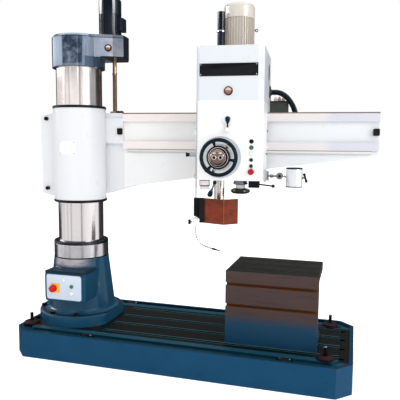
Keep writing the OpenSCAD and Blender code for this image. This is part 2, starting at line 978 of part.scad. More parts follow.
module lift_screw() {
    color("#8a6a4a") on_arm() translate([screw_x, screw_y, 0]) {
        translate([0, 0, arm_z - screw_below]) cylinder(r = screw_r, h = lift_gear_z + lift_gear_h - arm_z + screw_below);
        translate([0, 0, lift_gear_z]) cylinder(r = gear_distance * lift_gear_share, h = lift_gear_h);
    }
}

// Arm

// Height of the arm's underside below its top face, at a distance along the arm
function belly_depth(x) = belly_drop + (arm_tip_h - belly_drop) * (x - belly_x) / (arm_len - belly_x);

module arm_outline() {
    polygon([
        [0, arm_z], [arm_len, arm_z], [arm_len, arm_z - arm_tip_h], [belly_x, arm_z - belly_drop],
        [root_x, arm_z - root_drop], [0, arm_z - root_drop]
    ]);
}

module arm_plan() {
    polygon([
        [0, web_y], [arm_len, web_y], [arm_len, arm_back_tip], [arm_plan_x, arm_back],
        arm_plan_root, [0, arm_plan_root[1]]
    ]);
}

module arm_core() {
    x1 = arm_len - arm_end_wall;
    xz(web_y + arm_wall, arm_back_tip - arm_wall) polygon([
        [arm_core_x, arm_z - arm_roof], [x1, arm_z - arm_roof], [x1, arm_z - belly_depth(x1) + arm_wall],
        [arm_core_x + arm_wall, arm_z - belly_drop + 2 * arm_wall], [arm_core_x, arm_z - belly_drop + 2 * arm_wall]
    ]);
}

module clamp_lug() {
    z1 = arm_z - lug_drop[0];
    z0 = arm_z - lug_drop[1];
    xz(-lug_half, lug_half) polygon([
        [-lug_x, z1 - lug_slope], [-lug_inner, z1 + lug_slope], [-lug_inner, z0 - lug_slope], [-lug_x, z0 + lug_slope]
    ]);
}

module at_lug_bolts() {
    for (d = lug_bolt_drop)
        translate([-lug_bolt_x, 0, arm_z - d]) children();
}

module arm_casting() {
    color("#e6e8e6") on_arm() difference() {
        union() {
            intersection() {
                xz(web_y, arm_back) arm_outline();
                translate([0, 0, arm_z - root_drop - over]) linear_extrude(height = root_drop + 2 * over) arm_plan();
            }
            translate([way_x0, way_y, arm_z - way_h]) cube([arm_len - way_x0, web_y - way_y + over, way_h]);
            translate([way_x0, way_y, low_way_z0]) cube([arm_len - way_x0, web_y - way_y + over, low_way_h]);
            translate([block_x, way_y, arm_z - block_low])
                cube([way_x0 - block_x + over, web_y - way_y + over, block_low - block_top]);
            translate([block_x, way_y + block_step, arm_z - block_top - over])
                cube([way_x0 - block_x + over, web_y - way_y - block_step + over, block_top + over]);
            translate([0, 0, sleeve_z0]) cylinder(r = sleeve_r, h = sleeve_h);
            clamp_lug();
        }
        translate([0, 0, sleeve_z0 - over]) cylinder(r = col_r + run, h = sleeve_h + 2 * over);
        translate([-lug_x - over, -lug_slit / 2, sleeve_z0 - over])
            cube([lug_x - col_r + lug_slit + over, lug_slit, sleeve_h + 2 * over]);
        at_lug_bolts() bar_y(lug_bolt_r + seat, -lug_half - over, lug_half + over);
        translate([way_x0, keeper_y[0], arm_z - keeper_deep])
            cube([arm_len - way_x0 + over, keeper_y[1] - keeper_y[0], keeper_deep + over]);
        arm_core();
        translate([screw_x, screw_y, arm_z - root_drop - over]) cylinder(r = screw_r + over, h = root_drop + 2 * over);
        translate([screw_x, screw_y, arm_z - nut_h - seat]) cylinder(r = nut_r + seat, h = nut_h + over);
    }
}

module seal_ring() {
    rotate_extrude() polygon([
        [col_r + run, 0], [sleeve_r + seal_out, 0], [sleeve_r + seal_out, seal_h - seal_bevel],
        [sleeve_r + seal_out - seal_bevel, seal_h], [col_r + run, seal_h]
    ]);
}

module sleeve_seals() {
    color("#14181b") on_arm() {
        translate([0, 0, sleeve_z1]) seal_ring();
        translate([0, 0, sleeve_z0]) mirror([0, 0, 1]) seal_ring();
    }
}

module sleeve_bolts() {
    color("#3c4043") on_arm() at_lug_bolts() {
        bar_y(lug_head_r, -lug_half - lug_head_h, -lug_half);
        bar_y(lug_bolt_r, -lug_half - over, lug_half + lug_head_h);
        translate([0, lug_half, 0]) rotate([-90, 0, 0]) hexagon(lug_head_r, lug_head_h - over);
    }
}

module lift_nut() {
    color("#8f6a3c") on_arm() translate([screw_x, screw_y, arm_z]) difference() {
        union() {
            cylinder(r = nut_flange_r, h = nut_flange_h);
            translate([0, 0, -nut_h]) cylinder(r = nut_r, h = nut_h + over);
        }
        translate([0, 0, -nut_h - over]) cylinder(r = screw_r + run, h = nut_h + nut_flange_h + 2 * over);
    }
}

// Half widths of the rack's and the pinion's teeth at the root and at the tip, thinned by the play
tooth_pitch = PI * rack_module;
tooth_tip = rack_module * tooth_tip_share;
tooth_root = rack_module * tooth_root_share;
tooth_half = tooth_pitch / 4 - tooth_pitch * tooth_play_share / 2;
rack_half_root = tooth_half + tooth_root * tan(rack_flank);
rack_half_tip = tooth_half - tooth_tip * tan(rack_flank);
pinion_half_root = tooth_half + tooth_root * tan(pinion_flank);
pinion_half_tip = tooth_half - tooth_tip * tan(pinion_flank);

// Rack under the lower way; a tooth gap stands over the pinion's axis
module traverse_rack() {
    mid = spindle_x + hub_x + pinion_x;
    first = -floor((mid - way_x0 - arm_wall) / tooth_pitch);
    last = floor((arm_len - arm_end_wall - mid) / tooth_pitch);
    pitch_z = hub_z + pinion_r;
    top = low_way_z0;
    color("#9a9da1") on_arm() xz(rack_y, rack_y + rack_t) polygon(concat(
        [[mid + last * tooth_pitch, top], [mid + first * tooth_pitch, top]],
        [for (i = [first : last - 1]) let (x = mid + (i + 0.5) * tooth_pitch) each [
            [x - rack_half_root, pitch_z + tooth_root], [x - rack_half_tip, pitch_z - tooth_tip],
            [x + rack_half_tip, pitch_z - tooth_tip], [x + rack_half_root, pitch_z + tooth_root]
        ]]
    ));
}

module arm_stops() {
    z = arm_z - stop_drop;
    color("#1b1d1f") on_arm() {
        translate([way_x0 - stop_w / 2, 0, z]) xz(way_y - stop_t, way_y) round_square(stop_w, stop_h, stop_round);
        translate([arm_len - stop_w / 2, 0, z]) xz(way_y - stop_t / 2, web_y) round_square(stop_w, stop_h, stop_round);
    }
}

// Head

// Plan of the head with its bevelled front corners, drawn in by the inset
module head_plan(back, inset = 0) {
    x0 = head_x0 + inset;
    x1 = head_x1 - inset;
    y0 = head_front + inset;
    polygon([
        [x0, y0 + bevel_left], [x0 + bevel_left, y0], [x1 - bevel_right, y0], [x1, y0 + bevel_right],
        [x1, back - inset], [x0, back - inset]
    ]);
}

module head_casting() {
    keeper_w = keeper_y[1] - keeper_y[0] - 2 * gap;
    color("#eceeec") on_arm() difference() {
        union() {
            translate([0, 0, head_z0]) linear_extrude(height = head_h) head_plan(way_y - gap);
            translate([head_x0, way_y - gap - over, arm_z + gap])
                cube([head_w, head_back - way_y + gap + over, head_over - gap]);
            translate([head_x0, keeper_y[0] + gap, arm_z - keeper_deep + gap])
                cube([head_w, keeper_w, keeper_deep + over]);
            at_engage_pivot() translate([-engage_lug[0] / 2, engage_boss_t / 2 + gap, -engage_lug[0] / 2])
                cube([engage_lug[0], engage_lug[1], engage_drop + engage_lug[0] / 2 + over]);
        }
        translate([head_x0 + head_wall, head_front + head_wall, head_z0 + head_wall])
            cube([head_w - 2 * head_wall, head_depth - head_wall - head_core_back - way_y, head_h - 2 * head_wall]);
        translate([spindle_x, spindle_y, head_z0 - over]) cylinder(r = quill_r + run, h = head_h + 2 * over);
        translate([spindle_x + hub_x, 0, hub_z]) {
            bar_y(wheel_sleeve_r + run, head_front - over, head_front + head_wall + over);
            bar_y(feed_shaft_r + run, head_front + head_wall, spindle_y);
            bar_y(feed_gear_r + feed_pocket, spindle_y - feed_gear_t / 2 - feed_pocket, spindle_y + feed_gear_t / 2 + feed_pocket);
        }
        translate([spindle_x + hub_x + pinion_x, 0, hub_z])
            bar_y(pinion_shaft_r + run, head_front + head_wall, way_y);
        at_head_buttons() bar_y(button_d / 2 + run, -over, head_wall + over);
        at_stop_button() bar_y(stop_stem_r + run, -over, head_wall + over);
        at_speed_pivot() bar_y(speed_pin_r + run, -over, head_wall + over);
        at_engage_pivot() bar_y(engage_pin_r + run, 0, engage_boss_t + engage_lug[1]);
        at_preset() translate([0, 0, -over]) cylinder(r = preset_pin_r + run, h = head_wall + 2 * over);
        at_fine_wheel() translate([0, 0, -over]) cylinder(r = fine_bore_r + run, h = head_wall + 2 * over);
        at_clamp() bar_x(clamp_rod_r + run, -over, head_wall + over);
    }
}

module upper_cover() {
    color("#f1f2f0") on_arm() difference() {
        translate([0, 0, head_z1]) linear_extrude(height = cover_h) head_plan(head_back);
        translate([0, 0, head_z1 - over]) linear_extrude(height = cover_h - cover_roof + over) head_plan(head_back, cover_wall);
        translate([spindle_x, spindle_y, head_z1]) cylinder(r = tube_r - tube_wall, h = cover_h + over);
        translate([spindle_x + motor_x, spindle_y + motor_y, head_z1]) cylinder(r = motor_shaft_r + gap, h = cover_h + over);
    }
}

module sight_glass() {
    color("#8a4f33") on_arm() translate([spindle_x + sight_x, head_front, head_z1 + sight_up])
        rotate([90, 0, 0]) rotate_extrude() polygon([
            [0, 0], [sight_r, 0], [sight_r, sight_t / 2], [sight_r - sight_t / 2, sight_t],
            [sight_r - sight_t, sight_t], [sight_r - sight_t, sight_t / 2], [0, sight_t / 2]
        ]);
}

module head_motor() {
    color("#dcd6c0") on_arm() translate([spindle_x + motor_x, spindle_y + motor_y, cover_z1]) {
        cylinder(r = motor_foot_r, h = motor_foot_h);
        translate([0, 0, motor_foot_h - over]) finned_barrel(motor_r, motor_body_h + over, motor_fins, motor_fin_w, motor_fin_deep);
        translate([0, 0, -motor_shaft_h]) cylinder(r = motor_shaft_r, h = motor_shaft_h + over);
        translate([-motor_box[0] / 2, motor_r - motor_fin_deep - over, motor_box_up]) cube(motor_box);
    }
}

module motor_cover() {
    z = cover_z1 + motor_foot_h + motor_body_h;
    color("#f0efe9") on_arm() translate([spindle_x + motor_x, spindle_y + motor_y, z]) rotate_extrude() polygon(concat(
        [[0, 0], [motor_r, 0]],
        arc([motor_r - motor_hood_round, motor_hood_h - motor_hood_round], motor_hood_round, 0, 90),
        [[0, motor_hood_h]]
    ));
}

module spindle_tube() {
    color("#22303d") on_head(0, 0, cover_z1 - arm_z) difference() {
        union() {
            cylinder(r = tube_r, h = tube_h - tube_edge);
            cylinder(r = tube_collar_r, h = tube_collar_h);
            translate([0, 0, tube_h * tube_seam_share]) cylinder(r = tube_collar_r, h = tube_collar_h);
            translate([0, 0, tube_h - tube_edge]) cylinder(r1 = tube_r, r2 = tube_r - tube_edge, h = tube_edge);
        }
        translate([0, 0, -over]) cylinder(r = tube_r - tube_wall, h = tube_h - tube_r + over);
    }
}

module feed_dial() {
    color("#cfd2d3") on_arm() translate([spindle_x + hub_x, head_front - dial_t, hub_z]) rotate([-90, 0, 0])
        ring(dial_r, dial_bore_r, dial_t);
}

// Rear terminal box, bolted to the back of the head through a raised seat, with a gland on its end
module rear_box() {
    z0 = arm_z - box_drop;
    x0 = spindle_x + box_x;
    color("#4a4f47") on_arm() {
        translate([x0 + box_w / 2, 0, z0 + box_h / 2]) xz(box_y, box_y + box_deep) round_square(box_w, box_h, box_round);
        translate([x0 + box_round, head_back, z0 + box_h - box_seat_h - box_round])
            cube([head_x1 - x0 - 2 * box_round, box_y - head_back + over, box_seat_h]);
        translate([x0 + box_w, box_y + box_deep / 2, arm_z - conduit_end_drop]) bar_x(gland_neck_r, -over, gland_l);
        translate([head_x1, conduit_y, arm_z + head_over + conduit_up]) {
            bar_x(gland_r, 0, gland_l / 2);
            bar_x(gland_neck_r, 0, gland_l);
        }
    }
}

// Corrugated conduit between the gland on the head's side and the gland on the rear box
module conduit() {
    from = [head_x1 + gland_l + seat, conduit_y, arm_z + head_over + conduit_up];
    to = [spindle_x + box_x + box_w + gland_l + seat, box_y + box_deep / 2, arm_z - conduit_end_drop];
    lead = [conduit_lead, 0, 0];
    handles = [
        from + lead, from + lead + [conduit_out, 0, 0], to + lead + [conduit_back, 0, conduit_rise], to + lead
    ];
    n = 2 * conduit_ribs;
    ends = conduit_lead_rings;
    path = concat(
        [for (i = [0 : ends - 1]) from + lead * i / ends],
        [for (i = [0 : n]) bezier(handles, i / n)],
        [for (i = [ends - 1 : -1 : 0]) to + lead * i / ends]
    );
    radii = [for (i = [0 : len(path) - 1]) conduit_r - (i % 2) * conduit_rib];
    color("#16222a") on_arm() swept_tube(path, radii, conduit_sides, conduit_bore);
}

// Quill and spindle

module quill() {
    color("#b5b9bd") on_arm() translate([spindle_x, spindle_y, quill_z0]) difference() {
        cylinder(r = quill_r, h = quill_len);
        translate([0, 0, -over]) cylinder(r = spindle_r + run, h = quill_len + 2 * over);
        translate([0, 0, quill_land]) cylinder(r = quill_bore_r, h = quill_len - 2 * quill_land);
        translate([rack_flat, -quill_r, rack_low]) cube([quill_r, quill_d, quill_len]);
        for (i = [0 : rack_notches - 1])
            translate([rack_flat - rack_notch, -quill_r, rack_low + (i + 1) * rack_pitch])
                cube([quill_r, quill_d, rack_notch]);
    }
}

module spindle() {
    z0 = quill_z0 - gap - nose_len;
    color("#c3c6c9") on_arm() translate([spindle_x, spindle_y, z0]) difference() {
        rotate_extrude() polygon([
            [0, 0], [nose_d / 2 - nose_lip / 2, 0], [nose_d / 2, nose_lip / 2], [nose_d / 2, nose_len],
            [spindle_r, nose_len], [spindle_r, spindle_top - z0], [0, spindle_top - z0]
        ]);
        translate([0, 0, -over]) cylinder(r1 = taper_mouth_r, r2 = taper_end_r, h = taper_len + over);
        rotate([0, 0, drift_turn]) translate([-drift_w / 2, -nose_d, drift_up]) cube([drift_w, 2 * nose_d, drift_h]);
    }
}

// Feed and traverse

module at_hub(y = 0) {
    on_arm() translate([spindle_x + hub_x, y, hub_z]) children();
}

// Hub, hollow shaft and drive gear are one turned piece; three spokes carry the rim and its grip boss
module handwheel() {
    rim_mid = wheel_d / 2 - wheel_rim_r;
    shaft_end = head_front + drive_gear_y - wheel_front;
    floor_z = wheel_hub_t - wheel_rim_r;
    color("#1f292e") at_hub() translate([0, wheel_front, 0]) rotate([-90, 0, 0]) {
        rotate_extrude() polygon([
            [wheel_hub_bore, 0], [wheel_hub_r, 0], [wheel_hub_r, wheel_hub_t], [wheel_sleeve_r, wheel_hub_t],
            [wheel_sleeve_r, shaft_end], [drive_gear_r, shaft_end], [drive_gear_r, shaft_end + drive_gear_t],
            [wheel_sleeve_bore, shaft_end + drive_gear_t], [wheel_sleeve_bore, floor_z], [wheel_hub_bore, floor_z]
        ]);
        rotate_extrude() translate([rim_mid, wheel_rim_r]) circle(r = wheel_rim_r);
        for (i = [0 : wheel_spokes - 1])
            rotate([0, 0, wheel_spoke_turn + 360 * i / wheel_spokes]) translate([0, 0, wheel_rim_r])
                bar_x(wheel_spoke_r, wheel_hub_bore + wheel_rim_r, rim_mid);
        rotate([0, 0, wheel_spoke_turn]) translate([rim_mid, 0, -wheel_boss_h])
            cylinder(r = wheel_boss_r, h = wheel_boss_h + wheel_rim_r);
    }
}

// Pinion shaft: a drive gear beside the handwheel's gear and a toothed pinion under the rack
module traverse_pinion() {
    y0 = head_front + drive_gear_y;
    color("#8f9296") at_hub() translate([pinion_x, 0, 0]) {
        bar_y(drive_gear_2_r, y0, y0 + drive_gear_t);
        bar_y(pinion_shaft_r, y0, rack_y + rack_t);
        xz(rack_y, rack_y + rack_t) {
            circle(r = pinion_r - tooth_root);
            for (i = [0 : pinion_teeth - 1])
                rotate([0, 0, 360 * i / pinion_teeth + 90]) polygon([
                    [pinion_r - 2 * tooth_root, -pinion_half_root], [pinion_r - tooth_root, -pinion_half_root],
                    [pinion_r + tooth_tip, -pinion_half_tip], [pinion_r + tooth_tip, pinion_half_tip],
                    [pinion_r - tooth_root, pinion_half_root], [pinion_r - 2 * tooth_root, pinion_half_root]
                ]);
        }
    }
}

// Hub with two lever sockets, its shaft through the wheel's sleeve and the feed pinion beside the quill
module feed_hub() {
    y0 = wheel_front - hub_out;
    y1 = wheel_front + wheel_hub_t - wheel_rim_r - gap;
    step = head_front + head_wall + wheel_sleeve_r;
    color("#9b8b80") at_hub() difference() {
        union() {
            translate([0, y1, 0]) rotate([90, 0, 0]) rotate_extrude() polygon(concat(
                [[0, 0], [hub_r, 0]], arc([hub_r - hub_round, y1 - y0 - hub_round], hub_round, 0, 90), [[0, y1 - y0]]
            ));
            bar_y(wheel_sleeve_bore - run, y1 - over, step);
            bar_y(feed_shaft_r, step - over, spindle_y + feed_gear_t / 2);
            bar_y(feed_gear_r, spindle_y - feed_gear_t / 2, spindle_y + feed_gear_t / 2);
        }
        for (x = [-hub_eye_x, hub_eye_x])
            translate([x, 0, 0]) bar_y(hub_eye_r, y0 - over, y0 + hub_eye_deep);
    }
}

// Controls

module at_fine_wheel() {
    translate([spindle_x + fine_x, spindle_y + fine_y, head_z0]) children();
}

module fine_feed_wheel() {
    color("#1c2226") on_arm() at_fine_wheel() {
        translate([0, 0, -fine_drop - fine_h]) linear_extrude(height = fine_h) difference() {
            circle(r = fine_r);
            for (i = [0 : fine_lobes - 1])
                rotate([0, 0, 360 * i / fine_lobes]) translate([fine_r + fine_scallop * 0.6, 0]) circle(r = fine_scallop);
        }
        translate([0, 0, -fine_drop - over]) cylinder(r = fine_hub_r, h = fine_drop - fine_boss_h + over);
        translate([0, 0, -fine_boss_h - over]) cylinder(r = fine_boss_r, h = fine_boss_h + over - gap);
        translate([0, 0, -gap - over]) cylinder(r = fine_bore_r, h = head_wall + over);
    }
}

module at_preset() {
    translate([spindle_x + preset_x, spindle_y + preset_y, head_z0]) children();
}

module preset_knob() {
    color("#b9bcbf") on_arm() at_preset() {
        translate([0, 0, -preset_drop - preset_h[0]]) cylinder(r = preset_r[0], h = preset_h[0]);
        translate([0, 0, -preset_drop - preset_h[0] - preset_h[1]]) cylinder(r = preset_r[1], h = preset_h[1] + over);
        translate([0, 0, -preset_drop - over]) cylinder(r = preset_pin_r, h = head_wall + preset_drop + over);
    }
}

module at_engage_pivot() {
    translate([spindle_x + engage_x, spindle_y + engage_y, head_z0 - engage_drop]) children();
}

// Lever under the head with a bell-shaped knob, turning on its pin in a lug of the casting
module engage_lever() {
    tip = engage_len * [-sin(engage_tilt), 0, -cos(engage_tilt)];
    color("#24282b") on_arm() at_engage_pivot() {
        bar_y(engage_boss_r, -engage_boss_t / 2, engage_boss_t / 2);
        bar_y(engage_pin_r, 0, engage_boss_t / 2 + gap + engage_lug[1]);
        rod([0, 0, 0], tip, engage_rod_r);
        translate(tip) rotate([0, engage_tilt, 0]) translate([0, 0, -engage_ball[1] / 2])
            cylinder(r1 = engage_ball[0] * 0.8, r2 = engage_ball[0], h = engage_ball[1]);
    }
}

module direction_box() {
    z0 = head_z0 - dirbox_size[2];
    slot = dirlever_boss + 2 * over;
    color("#191c1e") on_arm() difference() {
        translate([spindle_x + dirbox_x + dirbox_size[0] / 2, spindle_y + dirbox_y + dirbox_size[1] / 2, z0])
            linear_extrude(height = dirbox_size[2]) round_square(dirbox_size[0], dirbox_size[1], dirbox_round);
        at_direction_pivot() {
            translate([-slot, -dirlever_t / 2 - gap, -slot]) cube([dirbox_size[0], dirlever_t + 2 * gap, 2 * slot]);
            bar_y(dirlever_pin_r + run, -dirlever_t - gap, dirlever_t + gap);
        }
    }
}

module at_direction_pivot() {
    x = spindle_x + dirbox_x + dirbox_size[0] - dirlever_boss;
    translate([x, spindle_y + dirbox_y + dirbox_size[1] / 2, head_z0 - dirbox_size[2] / 2]) children();
}

module direction_lever() {
    tip = dirlever_len * [cos(dirlever_tilt), 0, -sin(dirlever_tilt)];
    color("#2a2e31") on_arm() at_direction_pivot() {
        bar_y(dirlever_boss, -dirlever_t / 2, dirlever_t / 2);
        bar_y(dirlever_pin_r, -dirlever_t, dirlever_t);
        rod([0, 0, 0], tip, dirlever_r);
        translate(tip) sphere(r = dirlever_ball);
    }
}

module at_speed_pivot() {
    translate([spindle_x + speed_x, head_front, arm_z - speed_drop]) children();
}

module speed_lever() {
    color("#c8cbce") on_arm() at_speed_pivot() {
        bar_y(speed_boss_r, -speed_boss_t, -gap);
        bar_y(speed_pin_r, -gap - over, head_wall);
        translate([0, -speed_stand, 0]) {
            cylinder(r = speed_rod_r, h = speed_len);
            translate([0, 0, speed_len]) sphere(r = speed_ball);
        }
    }
}

module at_clamp() {
    translate([head_x0, spindle_y + clamp_y, arm_z - clamp_drop]) children();
}

module head_clamp_knob() {
    color("#2b2f32") on_arm() at_clamp() {
        bar_x(clamp_rod_r, -clamp_len + over, head_wall);
        translate([-clamp_len, 0, 0]) rotate([0, 90, 0])
            cylinder(r1 = clamp_knob_r, r2 = clamp_rod_r + over, h = clamp_knob_l);
    }
}

module at_head_buttons() {
    for (d = button_drop)
        at_head_button(d) children();
}

module at_head_button(drop) {
    translate([spindle_x + button_x, head_front, arm_z - drop]) children();
}

module at_stop_button() {
    at_head_button(stop_button_drop) children();
}

module push_button(i) {
    on_arm() at_head_button(button_drop[i - 1]) bar_y(button_d / 2, -button_out, head_wall - over);
}

module push_button_1() { color("#2a2c2e") push_button(1); }
module push_button_2() { color("#1d8a4a") push_button(2); }
module push_button_3() { color("#e9e9e4") push_button(3); }
module push_button_4() { color("#1b1d1f") push_button(4); }
module push_button_5() { color("#1b1d1f") push_button(5); }

module emergency_stop() {
    color("#b3201c") on_arm() at_stop_button() {
        bar_y(stop_stem_r, -stop_stem_h, head_wall - over);
        bar_y(stop_button_r, -stop_stem_h - stop_cap_h, -stop_stem_h);
    }
}

// Guard and coolant

module at_post() {
    on_head(post_x, post_y, head_z0 - arm_z) children();
}

module guard_post() {
    reach = -post_x - head_left;
    color("#a9adb1") at_post() {
        translate([0, 0, -post_low]) cylinder(r = post_r, h = post_low + post_top);
        translate([0, 0, post_top]) cylinder(r = post_cap[0], h = post_cap[1]);
        for (z = post_lugs)
            translate([-post_block[0] / 2, -post_block[1] / 2, z - post_block[2]])
                cube([reach + post_block[0] / 2, post_block[1], post_block[2]]);
        translate([0, 0, arm_z - clamp_drop - head_z0]) difference() {
            translate([-post_clamp[0], post_clamp_y, -post_clamp[2] / 2])
                cube([reach + post_clamp[0], post_clamp[1], post_clamp[2]]);
            translate([0, clamp_y - post_y, 0]) bar_x(clamp_rod_r + run, -post_clamp[0] - over, reach + over);
        }
    }
}

// Bracket that swings on the post; its plate carries the shield
module guard_bracket() {
    h = guard_drop[1] - guard_drop[0];
    color("#17191b") at_post() difference() {
        union() {
            translate([0, 0, -guard_drop[1]]) cylinder(r = guard_hub_r, h = h);
            xz(-guard_plate_t / 2, guard_plate_t / 2) polygon([
                [0, -guard_drop[0]], [guard_reach, -guard_drop[0]],
                [guard_reach, -guard_drop[1] - guard_wedge], [0, -guard_drop[1]]
            ]);
        }
        translate([0, 0, -guard_drop[1] - guard_wedge - over])
            cylinder(r = post_r + run, h = h + guard_wedge + 2 * over);
    }
}

// Translucent shield: two flat faces that meet at a front corner
module guard_shield() {
    start = [post_x + guard_reach, post_y - guard_plate_t / 2 - gap];
    corner = shield_corner;
    end = shield_end;
    n0 = unit([-(corner - start)[1], (corner - start)[0]]);
    n1 = unit([-(end - corner)[1], (end - corner)[0]]);
    inner = corner + shield_t * (n0 + n1) / (1 + n0 * n1);
    back = start + [-guard_reach / 2, 0];
    color([0.52, 0.26, 0.18, 0.85]) on_head(0, 0, head_z0 - arm_z - guard_drop[0] - shield_h)
        linear_extrude(height = shield_h)
            polygon([back, back - [0, shield_t], start - [0, shield_t], corner, end, end + shield_t * n1, inner, start]);
}

module at_valve(z = 0) {
    at_post() translate([valve_x, 0, z - post_low - valve_h]) children();
}

module coolant_valve() {
    color("#dfe1df") at_valve() difference() {
        union() {
            cylinder(r = valve_r, h = valve_h);
            translate([0, 0, valve_h - valve_cap_h]) cylinder(r = valve_cap_r, h = valve_cap_h);
            translate([0, 0, valve_h / 2]) bar_x(tap_r, -valve_r - tap_boss, 0);
        }
        translate([0, 0, valve_h / 2]) bar_x(tap_stem_r + run, -tap_reach, 0);
    }
}

module coolant_tap() {
    color("#24282b") at_valve(valve_h / 2) {
        bar_x(tap_stem_r, -tap_reach, -gap);
        translate([-tap_reach - tap_knob[0], -tap_knob[2] / 2, -tap_knob[1] / 2])
            cube([tap_knob[0] + over, tap_knob[2], tap_knob[1]]);
    }
}

// Route of the coolant hose, from the valve's outlet to the nozzle, from the spindle axis at the head's underside
hose_points = [
    [-139, -200, -341], [-139, -200, -365], [-137, -199, -390], [-131, -198, -415], [-120, -196, -440],
    [-104, -194, -461], [-84, -191, -477], [-62, -188, -489], [-38, -184, -498], [-14, -180, -505]
];

module coolant_hose() {
    n = len(hose_points);
    last = hose_points[n - 1];
    way = unit(last - hose_points[n - 2]);
    color("#dcdedd") on_head(0, 0, head_z0 - arm_z) {
        swept_tube(hose_points, [for (p = hose_points) hose_r], hose_sides);
        rod(last - hose_r * way, last + nozzle_l * way / 2, nozzle_r[0]);
        rod(last, last + nozzle_l * way, nozzle_r[1]);
    }
}

// Work lamp

module at_lamp() {
    on_arm() translate([head_x1, spindle_y + lamp_y, head_z0 + lamp_up]) children();
}

module lamp_bracket() {
    color("#d8dad8") at_lamp() difference() {
        union() {
            translate([0, -lamp_plate[1] / 2, -lamp_plate[2] / 2]) cube(lamp_plate);
            for (z = [-lamp_ear - lamp_ear_t, lamp_ear])
                translate([0, -lamp_ear_t, z]) cube([lamp_pivot_x, 2 * lamp_ear_t, lamp_ear_t]);
            for (z = [-lamp_ear - lamp_ear_t, lamp_ear])
                translate([lamp_pivot_x, 0, z]) cylinder(r = lamp_ear_t, h = lamp_ear_t);
        }
        translate([lamp_pivot_x, 0, -lamp_plate[2]]) cylinder(r = lamp_pin_r + run, h = 2 * lamp_plate[2]);
    }
}

module lamp_arm() {
    color("#23272a") at_lamp() {
        translate([lamp_pivot_x, 0, -lamp_ear - lamp_ear_t]) cylinder(r = lamp_pin_r, h = 2 * lamp_ear + 2 * lamp_ear_t);
        difference() {
            union() {
                bar_at_pivot();
                translate([lamp_reach, 0, 0]) rotate([90, 0, 0]) translate([0, 0, -lamp_clamp_h / 2])
                    cylinder(r = lamp_clamp_r, h = lamp_clamp_h);
            }
            bar_x(lamp_neck_r + run, lamp_reach, lamp_reach + lamp_clamp_r + over);
        }
    }
}

module bar_at_pivot() {
    bar_x(lamp_arm_r, lamp_pivot_x, lamp_reach);
}

module work_lamp() {
    x = lamp_reach + lamp_clamp_r + lamp_gap_x - lamp_clamp_r + lamp_r;
    color("#f2f2ef") at_lamp() {
        bar_x(lamp_neck_r, lamp_reach + over, x - lamp_r + lamp_wall);
        translate([x, 0, -lamp_h / 2 - lamp_ear_t]) {
            difference() {
                cylinder(r = lamp_r, h = lamp_h);
                translate([0, 0, -over]) cylinder(r = lamp_r - lamp_wall, h = lamp_h - lamp_wall + over);
            }
            translate([0, 0, lamp_lens_up]) cylinder(r = lamp_r - lamp_wall / 2, h = lamp_lens_t);
            translate([0, 0, lamp_h - over]) cylinder(r1 = lamp_r - lamp_wall, r2 = lamp_r - lamp_top_in, h = lamp_top_h + over);
            translate([lamp_r - lamp_wall, -lamp_handle[1] / 2, lamp_h / 2 - lamp_handle[2] / 2]) cube(lamp_handle);
        }
    }
}

base_casting();
column_pedestal();
inner_column();
column_bearings();
clamp_ring();
dust_ring();
levelling_pads();
base_bolts();
switch_panel();
main_switch();
start_button();
stop_button();
box_table();
outer_column();
top_housing();
lift_motor();
lift_pinion();
lift_screw();
arm_casting();
sleeve_seals();
sleeve_bolts();
lift_nut();
traverse_rack();
arm_stops();
head_casting();
upper_cover();
sight_glass();
head_motor();
motor_cover();
spindle_tube();
feed_dial();
rear_box();
conduit();
direction_box();
quill();
spindle();
handwheel();
traverse_pinion();
feed_hub();
fine_feed_wheel();
speed_lever();
engage_lever();
direction_lever();
preset_knob();
head_clamp_knob();
push_button_1();
push_button_2();
push_button_3();
push_button_4();
push_button_5();
emergency_stop();
guard_post();
guard_bracket();
guard_shield();
coolant_valve();
coolant_tap();
coolant_hose();
lamp_bracket();
lamp_arm();
work_lamp();
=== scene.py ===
"""Finishes and fine pieces of a radial arm drill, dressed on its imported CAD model."""
import math

import bpy
import bmesh
from mathutils import Matrix, Vector


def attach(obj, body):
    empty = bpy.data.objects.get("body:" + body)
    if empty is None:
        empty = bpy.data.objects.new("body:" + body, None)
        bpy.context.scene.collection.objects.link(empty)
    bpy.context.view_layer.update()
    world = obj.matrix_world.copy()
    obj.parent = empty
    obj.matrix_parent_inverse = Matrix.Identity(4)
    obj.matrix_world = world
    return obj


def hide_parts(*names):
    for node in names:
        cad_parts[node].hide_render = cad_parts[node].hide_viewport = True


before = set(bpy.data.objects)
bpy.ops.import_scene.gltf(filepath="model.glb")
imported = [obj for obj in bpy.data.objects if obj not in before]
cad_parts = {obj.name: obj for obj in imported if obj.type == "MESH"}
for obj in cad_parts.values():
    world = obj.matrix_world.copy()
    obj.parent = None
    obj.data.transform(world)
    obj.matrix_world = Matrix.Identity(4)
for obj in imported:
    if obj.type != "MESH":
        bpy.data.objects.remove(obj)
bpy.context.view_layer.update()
scene = bpy.context.scene

# Lengths below are in millimetres. The arm stands 5 degrees off the base's length, so what it carries is drawn
# square to the arm and swung into place with the mesh.
MM = 0.001
ARM_SWING = math.radians(5)
ARM = Matrix.Rotation(ARM_SWING, 4, "Z")
BASE = Matrix.Identity(4)
FRONT = (0, -1, 0)
RIGHT = (1, 0, 0)

